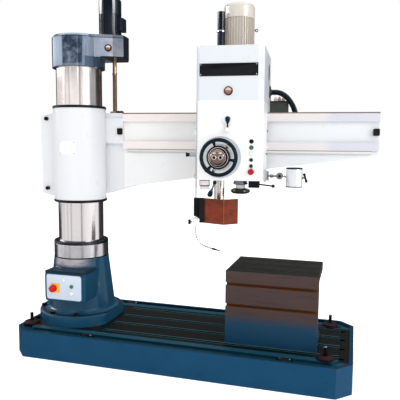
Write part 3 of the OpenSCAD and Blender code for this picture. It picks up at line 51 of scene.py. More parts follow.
# Where things stand: the head's front, right side and middle line, the feed hub, the fine feed wheel, the spindle, the
# work lamp, the conduit, the rear box, the lifting screw and motor, the start of the arm's ways, the switch panel, the
# deck and its foundation holes
HEAD_FACE, HEAD_SIDE, HEAD_X = -320, 1459.5, 1221
HUB_X, HUB_Z = 1172, 1496
FINE_X, FINE_Y = 1302, -230
SPINDLE_X, SPINDLE_Y = 1118, -20
LAMP_X, LAMP_Y, LAMP_Z = 1670.5, -160, 1366
CONDUIT_Y, CONDUIT_Z = 240, 1985
BOX_Y = 366
SCREW_X, SCREW_Y = 240, 140
LIFT_MOTOR = (237, 60, 0)
WAYS_X = 331.5
PANEL_X, PANEL_Y, PANEL_Z = 31, -334, 510
DECK_Z = 200
WELLS_X, WELLS_Y = (254, 1690), (-416.5, 416.5)


# Finishes

def linear(colour):
    """An sRGB hex colour as linear RGBA."""
    parts = [int(colour[i:i + 2], 16) / 255 for i in (1, 3, 5)]
    return tuple(c / 12.92 if c <= 0.04045 else ((c + 0.055) / 1.055) ** 2.4 for c in parts) + (1.0,)


def add(tree, kind, inputs=None, **settings):
    """Adds a node with its settings, and a value or a link on each named input."""
    made = tree.nodes.new(kind)
    for key, value in settings.items():
        setattr(made, key, value)
    for key, value in (inputs or {}).items():
        if isinstance(value, bpy.types.NodeSocket):
            tree.links.new(value, made.inputs[key])
        else:
            made.inputs[key].default_value = value
    return made


def start(name, even):
    """A new finish, with the values that are the same all over set on the shader itself."""
    finish = bpy.data.materials.new(name)
    finish.use_nodes = True
    tree = finish.node_tree
    shader = tree.nodes["Principled BSDF"]
    for socket, value in even.items():
        shader.inputs[socket].default_value = value
    return finish, tree, shader, add(tree, "ShaderNodeTexCoord").outputs["Object"]


def skin(tree, shader, place, colours, cloud, rough, spread, fine, strength, depth):
    """Clouds of two colours and of gloss, and a fine relief, on a finish's shader."""
    clouds = add(tree, "ShaderNodeTexNoise", {"Vector": place, "Scale": 1000 / cloud, "Detail": 5.0, "Roughness": 0.6})
    first, second = map(linear, colours)
    tint = add(tree, "ShaderNodeMix", {0: clouds.outputs[0], 6: first, 7: second}, data_type="RGBA")
    dull = add(tree, "ShaderNodeMapRange", {0: clouds.outputs[0], 1: 0.3, 2: 0.7, 3: rough, 4: rough + spread})
    bump = add(tree, "ShaderNodeBump", {"Height": fine, "Strength": strength, "Distance": depth * MM})
    tree.links.new(tint.outputs[2], shader.inputs["Base Color"])
    tree.links.new(dull.outputs[0], shader.inputs["Roughness"])
    tree.links.new(bump.outputs[0], shader.inputs["Normal"])


def enamel(name, colour, shade, rough=0.28, coat=0.2, gloss=0.5, metal=0.0):
    """Sprayed enamel on cast iron: soft clouds in the colour and the orange peel of a thick coat, 10 mm across so
    that it shows."""
    even = {"IOR": 1.5, "Coat Weight": coat, "Coat Roughness": 0.06, "Specular IOR Level": gloss, "Metallic": metal}
    finish, tree, shader, place = start(name, even)
    peel = add(tree, "ShaderNodeTexNoise", {"Vector": place, "Scale": 1000 / 10, "Detail": 2.0})
    skin(tree, shader, place, (colour, shade), 180, rough - 0.04, 0.1, peel.outputs[0], 0.25, 0.05)
    return finish, tree, shader, place


def machined(name, colour, shade, rough=0.2, across=(1.0, 1.0, 60.0), spacing=40.0, depth=0.02):
    """Turned or ground metal: tool lines along one way, which stretch the reflections."""
    finish, tree, shader, place = start(name, {"Metallic": 1.0})
    along = add(tree, "ShaderNodeMapping", {"Vector": place, "Rotation": (0, 0, -ARM_SWING), "Scale": across})
    lines = add(tree, "ShaderNodeTexNoise", {"Vector": along.outputs[0], "Scale": 1000 / spacing, "Detail": 4.0})
    skin(tree, shader, place, (colour, shade), 120, rough - 0.04, 0.1, lines.outputs[0], 0.3, depth)
    return finish, tree, shader, place


def moulded(name, colour, shade, rough=0.35, grain=1.6, depth=0.06, gloss=0.5, coat=0.0):
    """Moulded plastic, rubber or bakelite: an even colour with a fine pebbled skin."""
    finish, tree, shader, place = start(name, {"IOR": 1.49, "Specular IOR Level": gloss, "Coat Weight": coat})
    pebble = add(tree, "ShaderNodeTexNoise", {"Vector": place, "Scale": 1000 / grain, "Detail": 2.0})
    skin(tree, shader, place, (colour, shade), 45, rough - 0.06, 0.14, pebble.outputs[0], 0.3, depth)
    return finish, tree, shader, place


def within(tree, value, low, high):
    """1 where the value, in metres, lies between low and high, in millimetres, and 0 elsewhere."""
    half = (high - low) / 2 * MM
    return add(tree, "ShaderNodeMath", {0: value, 1: low * MM + half, 2: half}, operation="COMPARE").outputs[0]


def fade(tree, value, low, high, most=1.0):
    """Runs smoothly from 0 at low to the most at high, both in millimetres."""
    return add(tree, "ShaderNodeMapRange", {0: value, 1: low * MM, 2: high * MM, 4: most},
               interpolation_type="SMOOTHSTEP").outputs[0]


def both(tree, *masks):
    """1 where every mask is 1."""
    result = masks[0]
    for mask in masks[1:]:
        result = add(tree, "ShaderNodeMath", {0: result, 1: mask}, operation="MULTIPLY").outputs[0]
    return result


def overlay(tree, shader, mask, socket, value):
    """Puts another value on a socket of the shader where the mask is 1."""
    field = shader.inputs[socket]
    under = field.links[0].from_socket if field.links else field.default_value
    if socket == "Base Color":
        mixed = add(tree, "ShaderNodeMix", {0: mask, 6: under, 7: value}, data_type="RGBA").outputs[2]
    else:
        mixed = add(tree, "ShaderNodeMix", {0: mask, 2: under, 3: value}).outputs[0]
    tree.links.new(mixed, field)


def paint(tree, shader, mask, colour):
    """Puts another colour on a finish where the mask is 1."""
    overlay(tree, shader, mask, "Base Color", linear(colour))


def patches(tree, place, size, low, high):
    """Blotches of a real size, 1 inside and 0 outside, with ragged soft edges."""
    noise = add(tree, "ShaderNodeTexNoise", {"Vector": place, "Scale": 1000 / size, "Detail": 6.0, "Roughness": 0.7})
    return add(tree, "ShaderNodeMapRange", {0: noise.outputs[0], 1: low, 2: high},
               interpolation_type="SMOOTHSTEP").outputs[0]


def square_to_arm(tree, place):
    """The place along, across and up the arm, as three measures and as one vector."""
    square = add(tree, "ShaderNodeMapping", {"Vector": place, "Rotation": (0, 0, -ARM_SWING)}).outputs[0]
    return add(tree, "ShaderNodeSeparateXYZ", {0: square}).outputs, square


def from_axis(tree, place, centre, across):
    """How far a place is from an axis through a centre, where across is 0 along the axis and 1 square to it."""
    shift = [-c * MM * a for c, a in zip(centre, across)]
    flat = add(tree, "ShaderNodeMapping", {"Vector": place, "Location": shift, "Scale": across}).outputs[0]
    return add(tree, "ShaderNodeVectorMath", {0: flat}, operation="LENGTH").outputs["Value"]


def base_finish():
    """Blue enamel on the sides, darker in patches along the rim's top, partly from wear and partly as a painted dark
    reflection, and bare planed iron, dark with oil, on the deck, in the gutter and in the slots, whose lips carry a
    painted highlight; the floors of the foundation wells are painted black as shade."""
    finish, tree, shader, place = enamel("base_blue_enamel_and_oiled_deck", "#0d3c5a", "#124668", 0.3, 0.0, 0.12)
    x, y, z = add(tree, "ShaderNodeSeparateXYZ", {0: place}).outputs
    from_middle = add(tree, "ShaderNodeMath", {0: x, 1: 890 * MM}, operation="SUBTRACT").outputs[0]
    out_x, out_y = [add(tree, "ShaderNodeMath", {0: way}, operation="ABSOLUTE").outputs[0] for way in (from_middle, y)]
    corner = add(tree, "ShaderNodeMath", {0: out_x, 1: out_y}, operation="ADD").outputs[0]
    deck = both(tree, within(tree, z, 120, 260), within(tree, out_x, -1000, 1203),
                within(tree, out_y, -1000, 448), within(tree, corner, -1000, 1567))
    planed = add(tree, "ShaderNodeMapping", {"Vector": place, "Scale": (1.0, 40.0, 1.0)}).outputs[0]
    lines = add(tree, "ShaderNodeTexNoise", {"Vector": planed, "Scale": 1000 / 160, "Detail": 5.0}).outputs[0]
    gloss = add(tree, "ShaderNodeMapRange", {0: lines, 1: 0.3, 2: 0.7, 3: 0.36, 4: 0.54}).outputs[0]
    oil = add(tree, "ShaderNodeMix", {0: lines, 6: linear("#020606"), 7: linear("#080c0b")}, data_type="RGBA")
    overlay(tree, shader, deck, "Base Color", oil.outputs[2])
    overlay(tree, shader, deck, "Roughness", gloss)
    paint(tree, shader, both(tree, deck, within(tree, out_y, 330, 448)), "#194557")
    gutter = both(tree, deck, within(tree, out_y, 380, 452), within(tree, z, 100, 196))
    paint(tree, shader, gutter, "#0a2d3d")
    # Painted shade: the floors of the foundation wells near black
    for hole in WELLS_X:
        well_shade = both(tree, gutter, within(tree, x, hole - 66, hole + 66), within(tree, z, 100, 179))
        paint(tree, shader, well_shade, "#05090b")
    level = within(tree, z, DECK_Z - 3, DECK_Z + 3)
    # Painted highlight: light teal lines along the slot lips
    for low, high in ((72, 77.5), (102.5, 108), (252, 257.5), (282.5, 288)):
        lip = both(tree, deck, level, within(tree, out_y, low, high), within(tree, x, 325, 2058))
        paint(tree, shader, lip, "#406a72")
    # Painted dark patches along the rim's top: partly wear, partly a painted dark reflection
    off_deck = add(tree, "ShaderNodeMath", {0: 1.0, 1: deck}, operation="SUBTRACT").outputs[0]
    paint(tree, shader, both(tree, level, off_deck, patches(tree, place, 25, 0.3, 0.6)), "#12323f")
    return finish


def table_finish():
    """Bare brown iron on the faces, rusty in patches and in the slots, that runs to the base's blue enamel at the foot,
    and a scraped top, dark with oil."""
    finish, tree, shader, place = enamel("table_brown_iron_and_oiled_top", "#3f312f", "#4b3b38", 0.42, 0.0, 0.2)
    _, y, z = add(tree, "ShaderNodeSeparateXYZ", {0: place}).outputs
    planed = add(tree, "ShaderNodeMapping", {"Vector": place, "Scale": (1.0, 1.0, 14.0)}).outputs[0]
    paint(tree, shader, patches(tree, planed, 220, 0.5, 0.85), "#2b2422")
    paint(tree, shader, patches(tree, place, 130, 0.56, 0.76), "#5e3420")
    paint(tree, shader, fade(tree, z, 430, 330), "#0f3c58")
    paint(tree, shader, both(tree, within(tree, y, -247, -205), within(tree, z, 300, 690)), "#6b3d1e")
    top = within(tree, z, 714, 730)
    scraped = add(tree, "ShaderNodeTexVoronoi", {"Vector": place, "Scale": 1000 / 14}).outputs[0]
    oil = add(tree, "ShaderNodeMix", {0: scraped, 6: linear("#141714"), 7: linear("#1f221d")}, data_type="RGBA")
    overlay(tree, shader, top, "Base Color", oil.outputs[2])
    overlay(tree, shader, top, "Roughness", 0.42)
    return finish


def arm_finish():
    """Off-white enamel, with the sleeve and the end painted a shade greyer as painted shade, two ground steel ways
    along the front, painted darker and then bluish towards the end as painted shade, and a painted shade line along
    their top edge."""
    finish, tree, shader, place = enamel("arm_white_enamel_and_ground_ways", "#eff0f2", "#e9e8e7", 0.3, 0.0)
    (x, y, z), square = square_to_arm(tree, place)
    end = within(tree, x, 1400, 2300)
    # Painted shade: the sleeve and the arm's end a shade greyer
    paint(tree, shader, within(tree, x, -400, WAYS_X), "#dfe1e5")
    paint(tree, shader, end, "#dadde0")
    ways = both(tree, within(tree, y, 50, 94), within(tree, x, WAYS_X, 2300), within(tree, z, 1540, 1830))
    ground = add(tree, "ShaderNodeMapping", {"Vector": square, "Scale": (1.0, 60.0, 60.0)}).outputs[0]
    lines = add(tree, "ShaderNodeTexNoise", {"Vector": ground, "Scale": 1000 / 60, "Detail": 4.0}).outputs[0]
    steel = add(tree, "ShaderNodeMix", {0: lines, 6: linear("#f6eeeb"), 7: linear("#ece4e1")}, data_type="RGBA")
    overlay(tree, shader, ways, "Base Color", steel.outputs[2])
    # Painted shade: the ways darker, then bluish, towards the end
    paint(tree, shader, both(tree, ways, end), "#ded9da")
    paint(tree, shader, both(tree, ways, fade(tree, x, 1850, 1960)), "#ced0da")
    overlay(tree, shader, ways, "Roughness", 0.34)
    overlay(tree, shader, ways, "Metallic", 0.25)
    # Painted shade: a dark line along the top edge of the upper way
    paint(tree, shader, both(tree, ways, within(tree, z, 1814, 1830)), "#75675f")
    return finish


def pedestal_finish():
    """Deep blue enamel with a low shine and painted light and shade: the flange's side painted paler, its top and the
    cabinet's top painted dark, and a pale painted sheen on the cone below the clamp ring."""
    finish, tree, shader, place = enamel("pedestal_blue_enamel", "#12405a", "#194b67", 0.16, 0.0, 0.2)
    x, y, z = add(tree, "ShaderNodeSeparateXYZ", {0: place}).outputs
    sheen_place = add(tree, "ShaderNodeMapping", {"Vector": place, "Scale": (1.0, 1.0, 5.0)}).outputs[0]
    # Painted sheen: a pale streaky highlight on the front of the cone below the clamp ring
    painted_sheen = both(tree, patches(tree, sheen_place, 110, 0.22, 0.54), fade(tree, x, -150, -80), fade(tree, x, 190, 60),
                fade(tree, z, 630, 655), within(tree, y, -300, -60))
    paint(tree, shader, painted_sheen, "#bab3bc")
    far = from_axis(tree, place, (0, 0, 0), (1.0, 1.0, 0.0))
    # Painted shade on the cabinet's top
    shelf = both(tree, within(tree, far, 240, 600), within(tree, z, 612, 640))
    paint(tree, shader, shelf, "#042130")
    overlay(tree, shader, shelf, "Roughness", 0.55)
    # A dark line under the clamp ring, the flange's side painted paler as painted light, its top painted dark as
    # painted shade
    for low, high, colour in ((697, 706, "#070c10"), (195, 272, "#1a4c68"), (282, 286, "#06202f")):
        paint(tree, shader, within(tree, z, low, high), colour)
    overlay(tree, shader, within(tree, z, 268, 300), "Roughness", 0.6)
    return finish


def housing_finish():
    """Glossy blue-grey enamel with a painted dark reflection in the middle, a painted pale reflection towards the motor
    and a painted shadow under the extension, and with a dark end, a dark seam under the lid and dark lower edges."""
    finish, tree, shader, place = enamel("housing_blue_grey_enamel", "#6c7b8f", "#7f8b9d", 0.1, 0.0, 0.5, 0.5)
    x, _, z = square_to_arm(tree, place)[0]
    # Painted reflection: dark cloudy patches in the middle
    painted_dark_reflection = both(tree, patches(tree, place, 60, 0.34, 0.6), within(tree, x, -40, 103), within(tree, z, 2172, 2380))
    paint(tree, shader, painted_dark_reflection, "#303f56")
    # Painted reflection: pale cloudy patches rising towards the motor
    rising = add(tree, "ShaderNodeMapRange", {0: x, 1: 130 * MM, 2: 300 * MM}).outputs[0]
    painted_sheen = both(tree, patches(tree, place, 150, 0.3, 0.62), rising, within(tree, x, 120, 371),
                within(tree, z, 2238, 2371))
    paint(tree, shader, painted_sheen, "#a6a7b3")
    # The band from 118 to 260 mm is a painted shadow under the extension
    for left, right, low, high, colour in (
        (371, 400, 2200, 2393, "#1f2b37"), (118, 260, 2150, 2231, "#45566c"), (-400, 400, 2373, 2377, "#0d1318"),
        (-400, 400, 2150, 2159, "#0d1318"), (215, 400, 2229, 2236, "#0d1318"),
    ):
        paint(tree, shader, both(tree, within(tree, x, left, right), within(tree, z, low, high)), colour)
    return finish


def lift_motor_finish():
    """Black enamel with a sharp wet-looking highlight on the hood, a little duller on the fins, whose crests carry a
    faint painted highlight.
    """
    finish, tree, shader, place = enamel("lift_motor_black_enamel", "#07121b", "#0d1c28", 0.12, 0.0, 0.5)
    (_, _, z), square = square_to_arm(tree, place)
    barrel = within(tree, z, 2416, 2572)
    crest_highlight = within(tree, from_axis(tree, square, LIFT_MOTOR, (1.0, 1.0, 0.0)), 84, 87)
    overlay(tree, shader, barrel, "Roughness", 0.2)
    # Painted highlight: the fin crests a touch lighter
    paint(tree, shader, both(tree, barrel, crest_highlight), "#101b24")
    return finish


def dial_finish():
    """Lacquered aluminium of the feed dial with painted reflections: white in the middle and blue-grey on the rim
    that carries the marks.
    """
    finish, tree, shader, place = enamel("dial_aluminium_painted_reflections", "#f7f8f8", "#f0f2f3", 0.3, 0.0)
    square = square_to_arm(tree, place)[1]
    far = from_axis(tree, square, (HUB_X, 0, HUB_Z), (1.0, 0.0, 1.0))
    # Painted reflections: blue-grey on the rim, white inside it
    paint(tree, shader, within(tree, far, 118, 200), "#c3cbd5")
    return finish


def shield_finish():
    """Red-brown acrylic with streaks, the dark ones scuffs and the pale ones painted highlights, a painted dark
    reflection over the top, dark where it is doubled at the bracket, and a painted highlight along the fold.
    """
    finish, tree, shader, place = moulded("guard_brown_acrylic", "#843722", "#6b2a17", 0.14, 8.0, 0.02, 0.15)
    (x, _, z), square = square_to_arm(tree, place)
    streaks = add(tree, "ShaderNodeMapping", {"Vector": square, "Scale": (1.0, 1.0, 2.2), "Rotation": (0, 0.3, 0)})
    # Streaks: the dark ones scuffs, the pale ones painted highlights
    paint(tree, shader, patches(tree, streaks.outputs[0], 90, 0.46, 0.7), "#56271a")
    paint(tree, shader, patches(tree, streaks.outputs[0], 34, 0.56, 0.74), "#7d4a38")
    # Painted reflection: darker over the top
    paint(tree, shader, fade(tree, z, 1120, 1215, 0.55), "#4a2617")
    # Painted highlight along the fold
    paint(tree, shader, within(tree, x, 1195.4, 1198.6), "#985038")
    paint(tree, shader, fade(tree, x, 1062, 1044), "#170b09")
    return finish


def banded(parts, bands, axis=2):
    """A finish with others on stretches of the piece along one axis, each as low, high, colour, roughness, metal."""
    finish, tree, shader, place = parts
    at = square_to_arm(tree, place)[0]
    for low, high, colour, rough, metal in bands:
        mask = within(tree, at[axis], low, high)
        paint(tree, shader, mask, colour)
        overlay(tree, shader, mask, "Roughness", rough)
        overlay(tree, shader, mask, "Metallic", metal)
    return finish


# Blue enamel of the pedestal: deep, with a low broad shine, and painted light and shade: a pale sheen on the cone,
# a paler flange side, and a dark flange top and cabinet top
blue = pedestal_finish()
# Black and navy enamel of the lifting motor and the spindle tube: near black, with a sharp wet-looking highlight
motor_black = lift_motor_finish()
navy = enamel("spindle_tube_navy_enamel", "#070d16", "#0c1726", 0.14, 0.0, 0.4)[0]
# White enamel of the head: plain on the casting, cooler on the cover, both with a soft sheen and with painted shade on
# the left bevel
head_white = banded(enamel("head_white_enamel", "#f3f3f3", "#ededed", 0.3, 0.0), [(990, 1005, "#a3a6a8", 0.4, 0.0)], 0)
cover_white = banded(enamel("cover_cool_white_enamel", "#d5d9de", "#cfd4da", 0.3, 0.0),
                     [(990, 1004, "#b3b7bc", 0.4, 0.0)], 0)
# Cream enamel of the head's motor: yellowed, duller between the fins than on the cowl
cream = enamel("motor_cream_enamel", "#cac2b7", "#bdb5a9", 0.34, 0.0)[0]
cowl_cream = enamel("cowl_cream_white_enamel", "#d1cac1", "#c7c0b6", 0.24, 0.0)[0]
# Flat olive and grey enamels of small boxes and brackets
olive = enamel("rear_box_olive_enamel", "#444b44", "#3b423c", 0.36, 0.0, 0.2)[0]
bracket_grey = enamel("lamp_bracket_grey_enamel", "#b9c0c7", "#aab2ba", 0.34, 0.1)[0]
# Red-brown rust primer on the levelling pads: matt and a little mottled
pad_primer = enamel("levelling_pad_red_primer", "#1c0f14", "#29151a", 0.55, 0.0, 0.1)[0]
# Pale blue stove enamel of the switch panel: even and satin
panel_blue = enamel("switch_panel_pale_blue_enamel", "#cdd6e5", "#c3cddd", 0.38, 0.0)[0]
# Bare plates: gloss black, matt white and signal yellow lacquer on sheet
plate_black = enamel("front_plate_gloss_black", "#0e1012", "#141619", 0.22, 0.0, 0.15)[0]
plate_white = enamel("blank_plate_white_lacquer", "#f3f4f6", "#e8eaed", 0.36, 0.0)[0]
chart_cream = enamel("blank_chart_cream_lacquer", "#eeeae5", "#e9e4de", 0.4, 0.0)[0]
plate_yellow = enamel("switch_plate_yellow_lacquer", "#eebb3c", "#e2ab2c", 0.4, 0.0, 0.2)[0]
# Ground column and turned rings: bright steel whose fine rings smear the reflections upwards
column_steel = banded(machined("column_ground_steel", "#e8e1dd", "#ddd6d3", 0.14, (1.0, 1.0, 90.0), 60.0, 0.01),
                      [(700, 1300, "#d3cdce", 0.15, 1.0)])
ring_steel = machined("clamp_ring_turned_steel", "#c9c7ca", "#bebcc0", 0.18, (1.0, 1.0, 60.0), 50.0)[0]
spindle_steel = machined("spindle_ground_steel", "#ece4de", "#dbd3cd", 0.18, (1.0, 1.0, 60.0), 30.0, 0.01)[0]
# Milled gears: greyer, with the coarse marks of the cutter, and a rack oiled pale like the ways, with a painted shade
# line along its top
rack_steel = banded(enamel("rack_oiled_pale_steel", "#dfdfdf", "#d7d7d8", 0.34, 0.0, 0.5, 0.1),
                    [(1538, 1546, "#a89a90", 0.4, 0.1)])
gear_steel = machined("gear_milled_steel", "#8f9296", "#7c7f84", 0.34, (1.0, 30.0, 30.0), 20.0, 0.03)[0]
# Black oxide on screws, brackets and rings: dark and satin, a shine only along the edges
black_oxide = machined("fastener_black_oxide", "#15181a", "#202326", 0.4, (1.0, 1.0, 12.0), 12.0, 0.03)[0]
dust_black = machined("dust_ring_oiled_black_steel", "#22282c", "#30363b", 0.34, (1.0, 1.0, 40.0), 30.0)[0]
# Satin aluminium of the dial, clear-lacquered, which scatters light evenly
dial_aluminium = enamel("dial_satin_aluminium", "#d5dade", "#c6ccd2", 0.36, 0.0, 0.5, 0.3)[0]
# The feed dial's finish has painted reflections: white in the middle and blue-grey on the rim
dial_painted_reflections = dial_finish()
# Bright chrome plate: a mirror with hardly any marks
chrome = machined("lever_bright_chrome", "#dfe1e3", "#d2d5d8", 0.1, (1.0, 1.0, 8.0), 40.0, 0.004)[0]
# Nickel, copper, bronze and brass on fittings, each softly polished by use, and the root of the thread painted dark as
# shade
hub_edge = machined("hub_edge_worn_nickel", "#e6ddd8", "#cec5c0", 0.22, (1.0, 1.0, 1.0), 10.0, 0.01)[0]
hub_copper = machined("feed_hub_copper_brown", "#94776d", "#806764", 0.26, (1.0, 1.0, 1.0), 6.0, 0.01)[0]
bronze = machined("lift_screw_bronze", "#bd9a7c", "#946f52", 0.3, (1.0, 1.0, 20.0), 10.0)[0]
# The screw's core is painted dark under the thread as painted shade, and bright bronze above it
shaded_screw_bronze = banded(machined("lift_screw_bronze_painted_shade", "#4e3b2e", "#3a2b22", 0.34, (1.0, 1.0, 20.0), 10.0),
                      [(2126, 2240, "#c6a585", 0.3, 1.0)])
brass = machined("gland_brass", "#b8924f", "#9f7b3e", 0.28, (1.0, 1.0, 20.0), 8.0)[0]
hose_steel = machined("coolant_hose_wound_steel", "#dcdfe0", "#cbced0", 0.26, (1.0, 1.0, 1.0), 12.0, 0.01)[0]
# Black bakelite of wheels and knobs: polished, with a bluish highlight
bakelite = moulded("wheel_black_bakelite", "#0b1922", "#11212b", 0.24, gloss=0.1)[0]
fine_black = moulded("fine_wheel_brown_black_bakelite", "#15100d", "#1e1713", 0.14, gloss=0.45)[0]
# Rubber seals and stops: matt black
rubber = moulded("seal_black_rubber", "#0b0c0d", "#131415", 0.6, 2.0, 0.1, 0.2)[0]
# Moulded plastics of the controls
black_plastic = moulded("control_black_abs", "#0b0e10", "#121518", 0.34, gloss=0.1)[0]
grey_plastic = moulded("button_dark_grey_abs", "#24282b", "#2c3033", 0.34, gloss=0.15)[0]
conduit_nylon = moulded("conduit_black_nylon", "#06131a", "#0b1c25", 0.28, gloss=0.15)[0]
green_plastic = moulded("button_green_abs", "#1f7a4c", "#1a6b42", 0.3)[0]
stop_red = moulded("stop_button_dark_red_abs", "#ad1c26", "#9c1620", 0.3, gloss=0.15)[0]
red_plastic = moulded("switch_red_abs", "#cf1a22", "#bd141c", 0.3, gloss=0.15)[0]
white_plastic = moulded("button_white_abs", "#f0f2f3", "#e6e9eb", 0.32)[0]
pink_plastic = moulded("connector_pale_pink_abs", "#c9a09a", "#b98f89", 0.4)[0]
beige_plastic = moulded("connector_beige_abs", "#b9ab92", "#a89a82", 0.42)[0]
# Silver-white lacquer of the work lamp and frosted glass of its lens
lamp_silver = enamel("lamp_silver_white_lacquer", "#e2e6ec", "#d8dde4", 0.3, 0.1, 0.5, 0.3)[0]
lens_glass = moulded("lamp_frosted_lens", "#e9edf0", "#dde2e6", 0.3, 3.0, 0.05)[0]
# Tinted acrylic of the guard: brown, glossy and almost opaque at a slant, with painted highlights and a painted dark
# reflection
shield_acrylic = shield_finish()
# Oil behind domed glass: copper-brown, the upper part of each dome painted pale as a painted highlight, with a wet
# highlight
oil_glass = banded(moulded("sight_glass_amber_oil", "#96604a", "#754633", 0.06, 12.0, 0.01, coat=0.8),
                   [(1947, 1975, "#cdb3a8", 0.06, 0.0), (2300, 2325, "#e2cfc7", 0.06, 0.0)])
# Pale plastic of the preset knob, with two dark grip rings
preset_finish = banded(moulded("preset_knob_pale_abs", "#dad4d3", "#cdc7c7", 0.34),
                       [(1290, 1299, "#3c3a3a", 0.4, 0.0), (1330, 1335, "#55504f", 0.4, 0.0)])

dress = {
    base_finish(): ("base_casting",),
    table_finish(): ("box_table",),
    arm_finish(): ("arm_casting",),
    housing_finish(): ("top_housing",),
    blue: ("column_pedestal",),
    motor_black: ("lift_motor",),
    navy: ("spindle_tube",),
    head_white: ("head_casting",),
    cover_white: ("upper_cover",),
    cream: ("head_motor",),
    cowl_cream: ("motor_cover",),
    olive: ("rear_box",),
    pad_primer: ("levelling_pads",),
    bracket_grey: ("lamp_bracket",),
    panel_blue: ("switch_panel",),
    column_steel: ("outer_column",),
    ring_steel: ("clamp_ring",),
    dust_black: ("dust_ring",),
    spindle_steel: ("quill", "spindle"),
    gear_steel: ("lamp_arm", "inner_column", "column_bearings", "lift_pinion", "traverse_pinion"),
    rack_steel: ("traverse_rack",),
    black_oxide: ("base_bolts", "sleeve_bolts", "guard_bracket"),
    dial_painted_reflections: ("feed_dial",),
    chrome: ("guard_post", "speed_lever"),
    hub_copper: ("feed_hub",),
    shaded_screw_bronze: ("lift_screw",),
    bronze: ("lift_nut",),
    bakelite: ("handwheel", "fine_feed_wheel", "head_clamp_knob", "engage_lever", "direction_lever"),
    preset_finish: ("preset_knob",),
    rubber: ("sleeve_seals", "arm_stops"),
    black_plastic: ("direction_box", "coolant_tap", "push_button_1"),
    grey_plastic: ("push_button_4", "push_button_5"),
    conduit_nylon: ("conduit",),
    green_plastic: ("push_button_2", "start_button"),
    red_plastic: ("main_switch",),
    stop_red: ("emergency_stop",),
    white_plastic: ("push_button_3", "stop_button"),
    lamp_silver: ("work_lamp",),
    plate_white: ("coolant_valve",),
    hose_steel: ("coolant_hose",),
    shield_acrylic: ("guard_shield",),
    oil_glass: ("sight_glass",),
}
for finish, names in dress.items():
    for name in names:
        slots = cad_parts[name].data.materials
        slots.clear()
        slots.append(finish)


# Stage, light and camera

def stage():
    """A white paper floor, a soft studio and the camera where the photograph was taken from."""
    bm = bmesh.new()
    bmesh.ops.create_grid(bm, x_segments=1, y_segments=1, size=40.0)
    mesh = bpy.data.meshes.new("floor")
    bm.to_mesh(mesh)
    bm.free()
    floor = bpy.data.objects.new("floor", mesh)
    floor.location.z = -0.0005
    floor.visible_glossy = False
    scene.collection.objects.link(floor)
    paper, tree, shader, place = start("floor_white_paper", {
        "Roughness": 0.9, "IOR": 1.1, "Emission Color": (1.0, 1.0, 1.0, 1.0), "Emission Strength": 0.56})
    grain = add(tree, "ShaderNodeTexNoise", {"Vector": place, "Scale": 1000 / 300, "Detail": 3.0}).outputs[0]
    tint = add(tree, "ShaderNodeMix", {0: grain, 6: linear("#fbfbfb"), 7: linear("#f8f8f8")}, data_type="RGBA")
    tree.links.new(tint.outputs[2], shader.inputs["Base Color"])
    mesh.materials.append(paper)
    studio_light()

    lens = bpy.data.cameras.new("camera")
    lens.lens = 47.38
    lens.sensor_width = 36.0
    lens.sensor_height = 36.0
    lens.clip_end = 200.0
    camera = bpy.data.objects.new("camera", lens)
    camera.matrix_world = Matrix((
        (0.95916, -0.03737, 0.28040, 2.08564),
        (0.28276, 0.09788, -0.95418, -3.73444),
        (0.00821, 0.99450, 0.10445, 1.58038),
        (0.0, 0.0, 0.0, 1.0),
    ))
    scene.collection.objects.link(camera)
    scene.camera = camera
    scene.view_settings.view_transform = "Standard"
    scene.view_settings.look = "None"


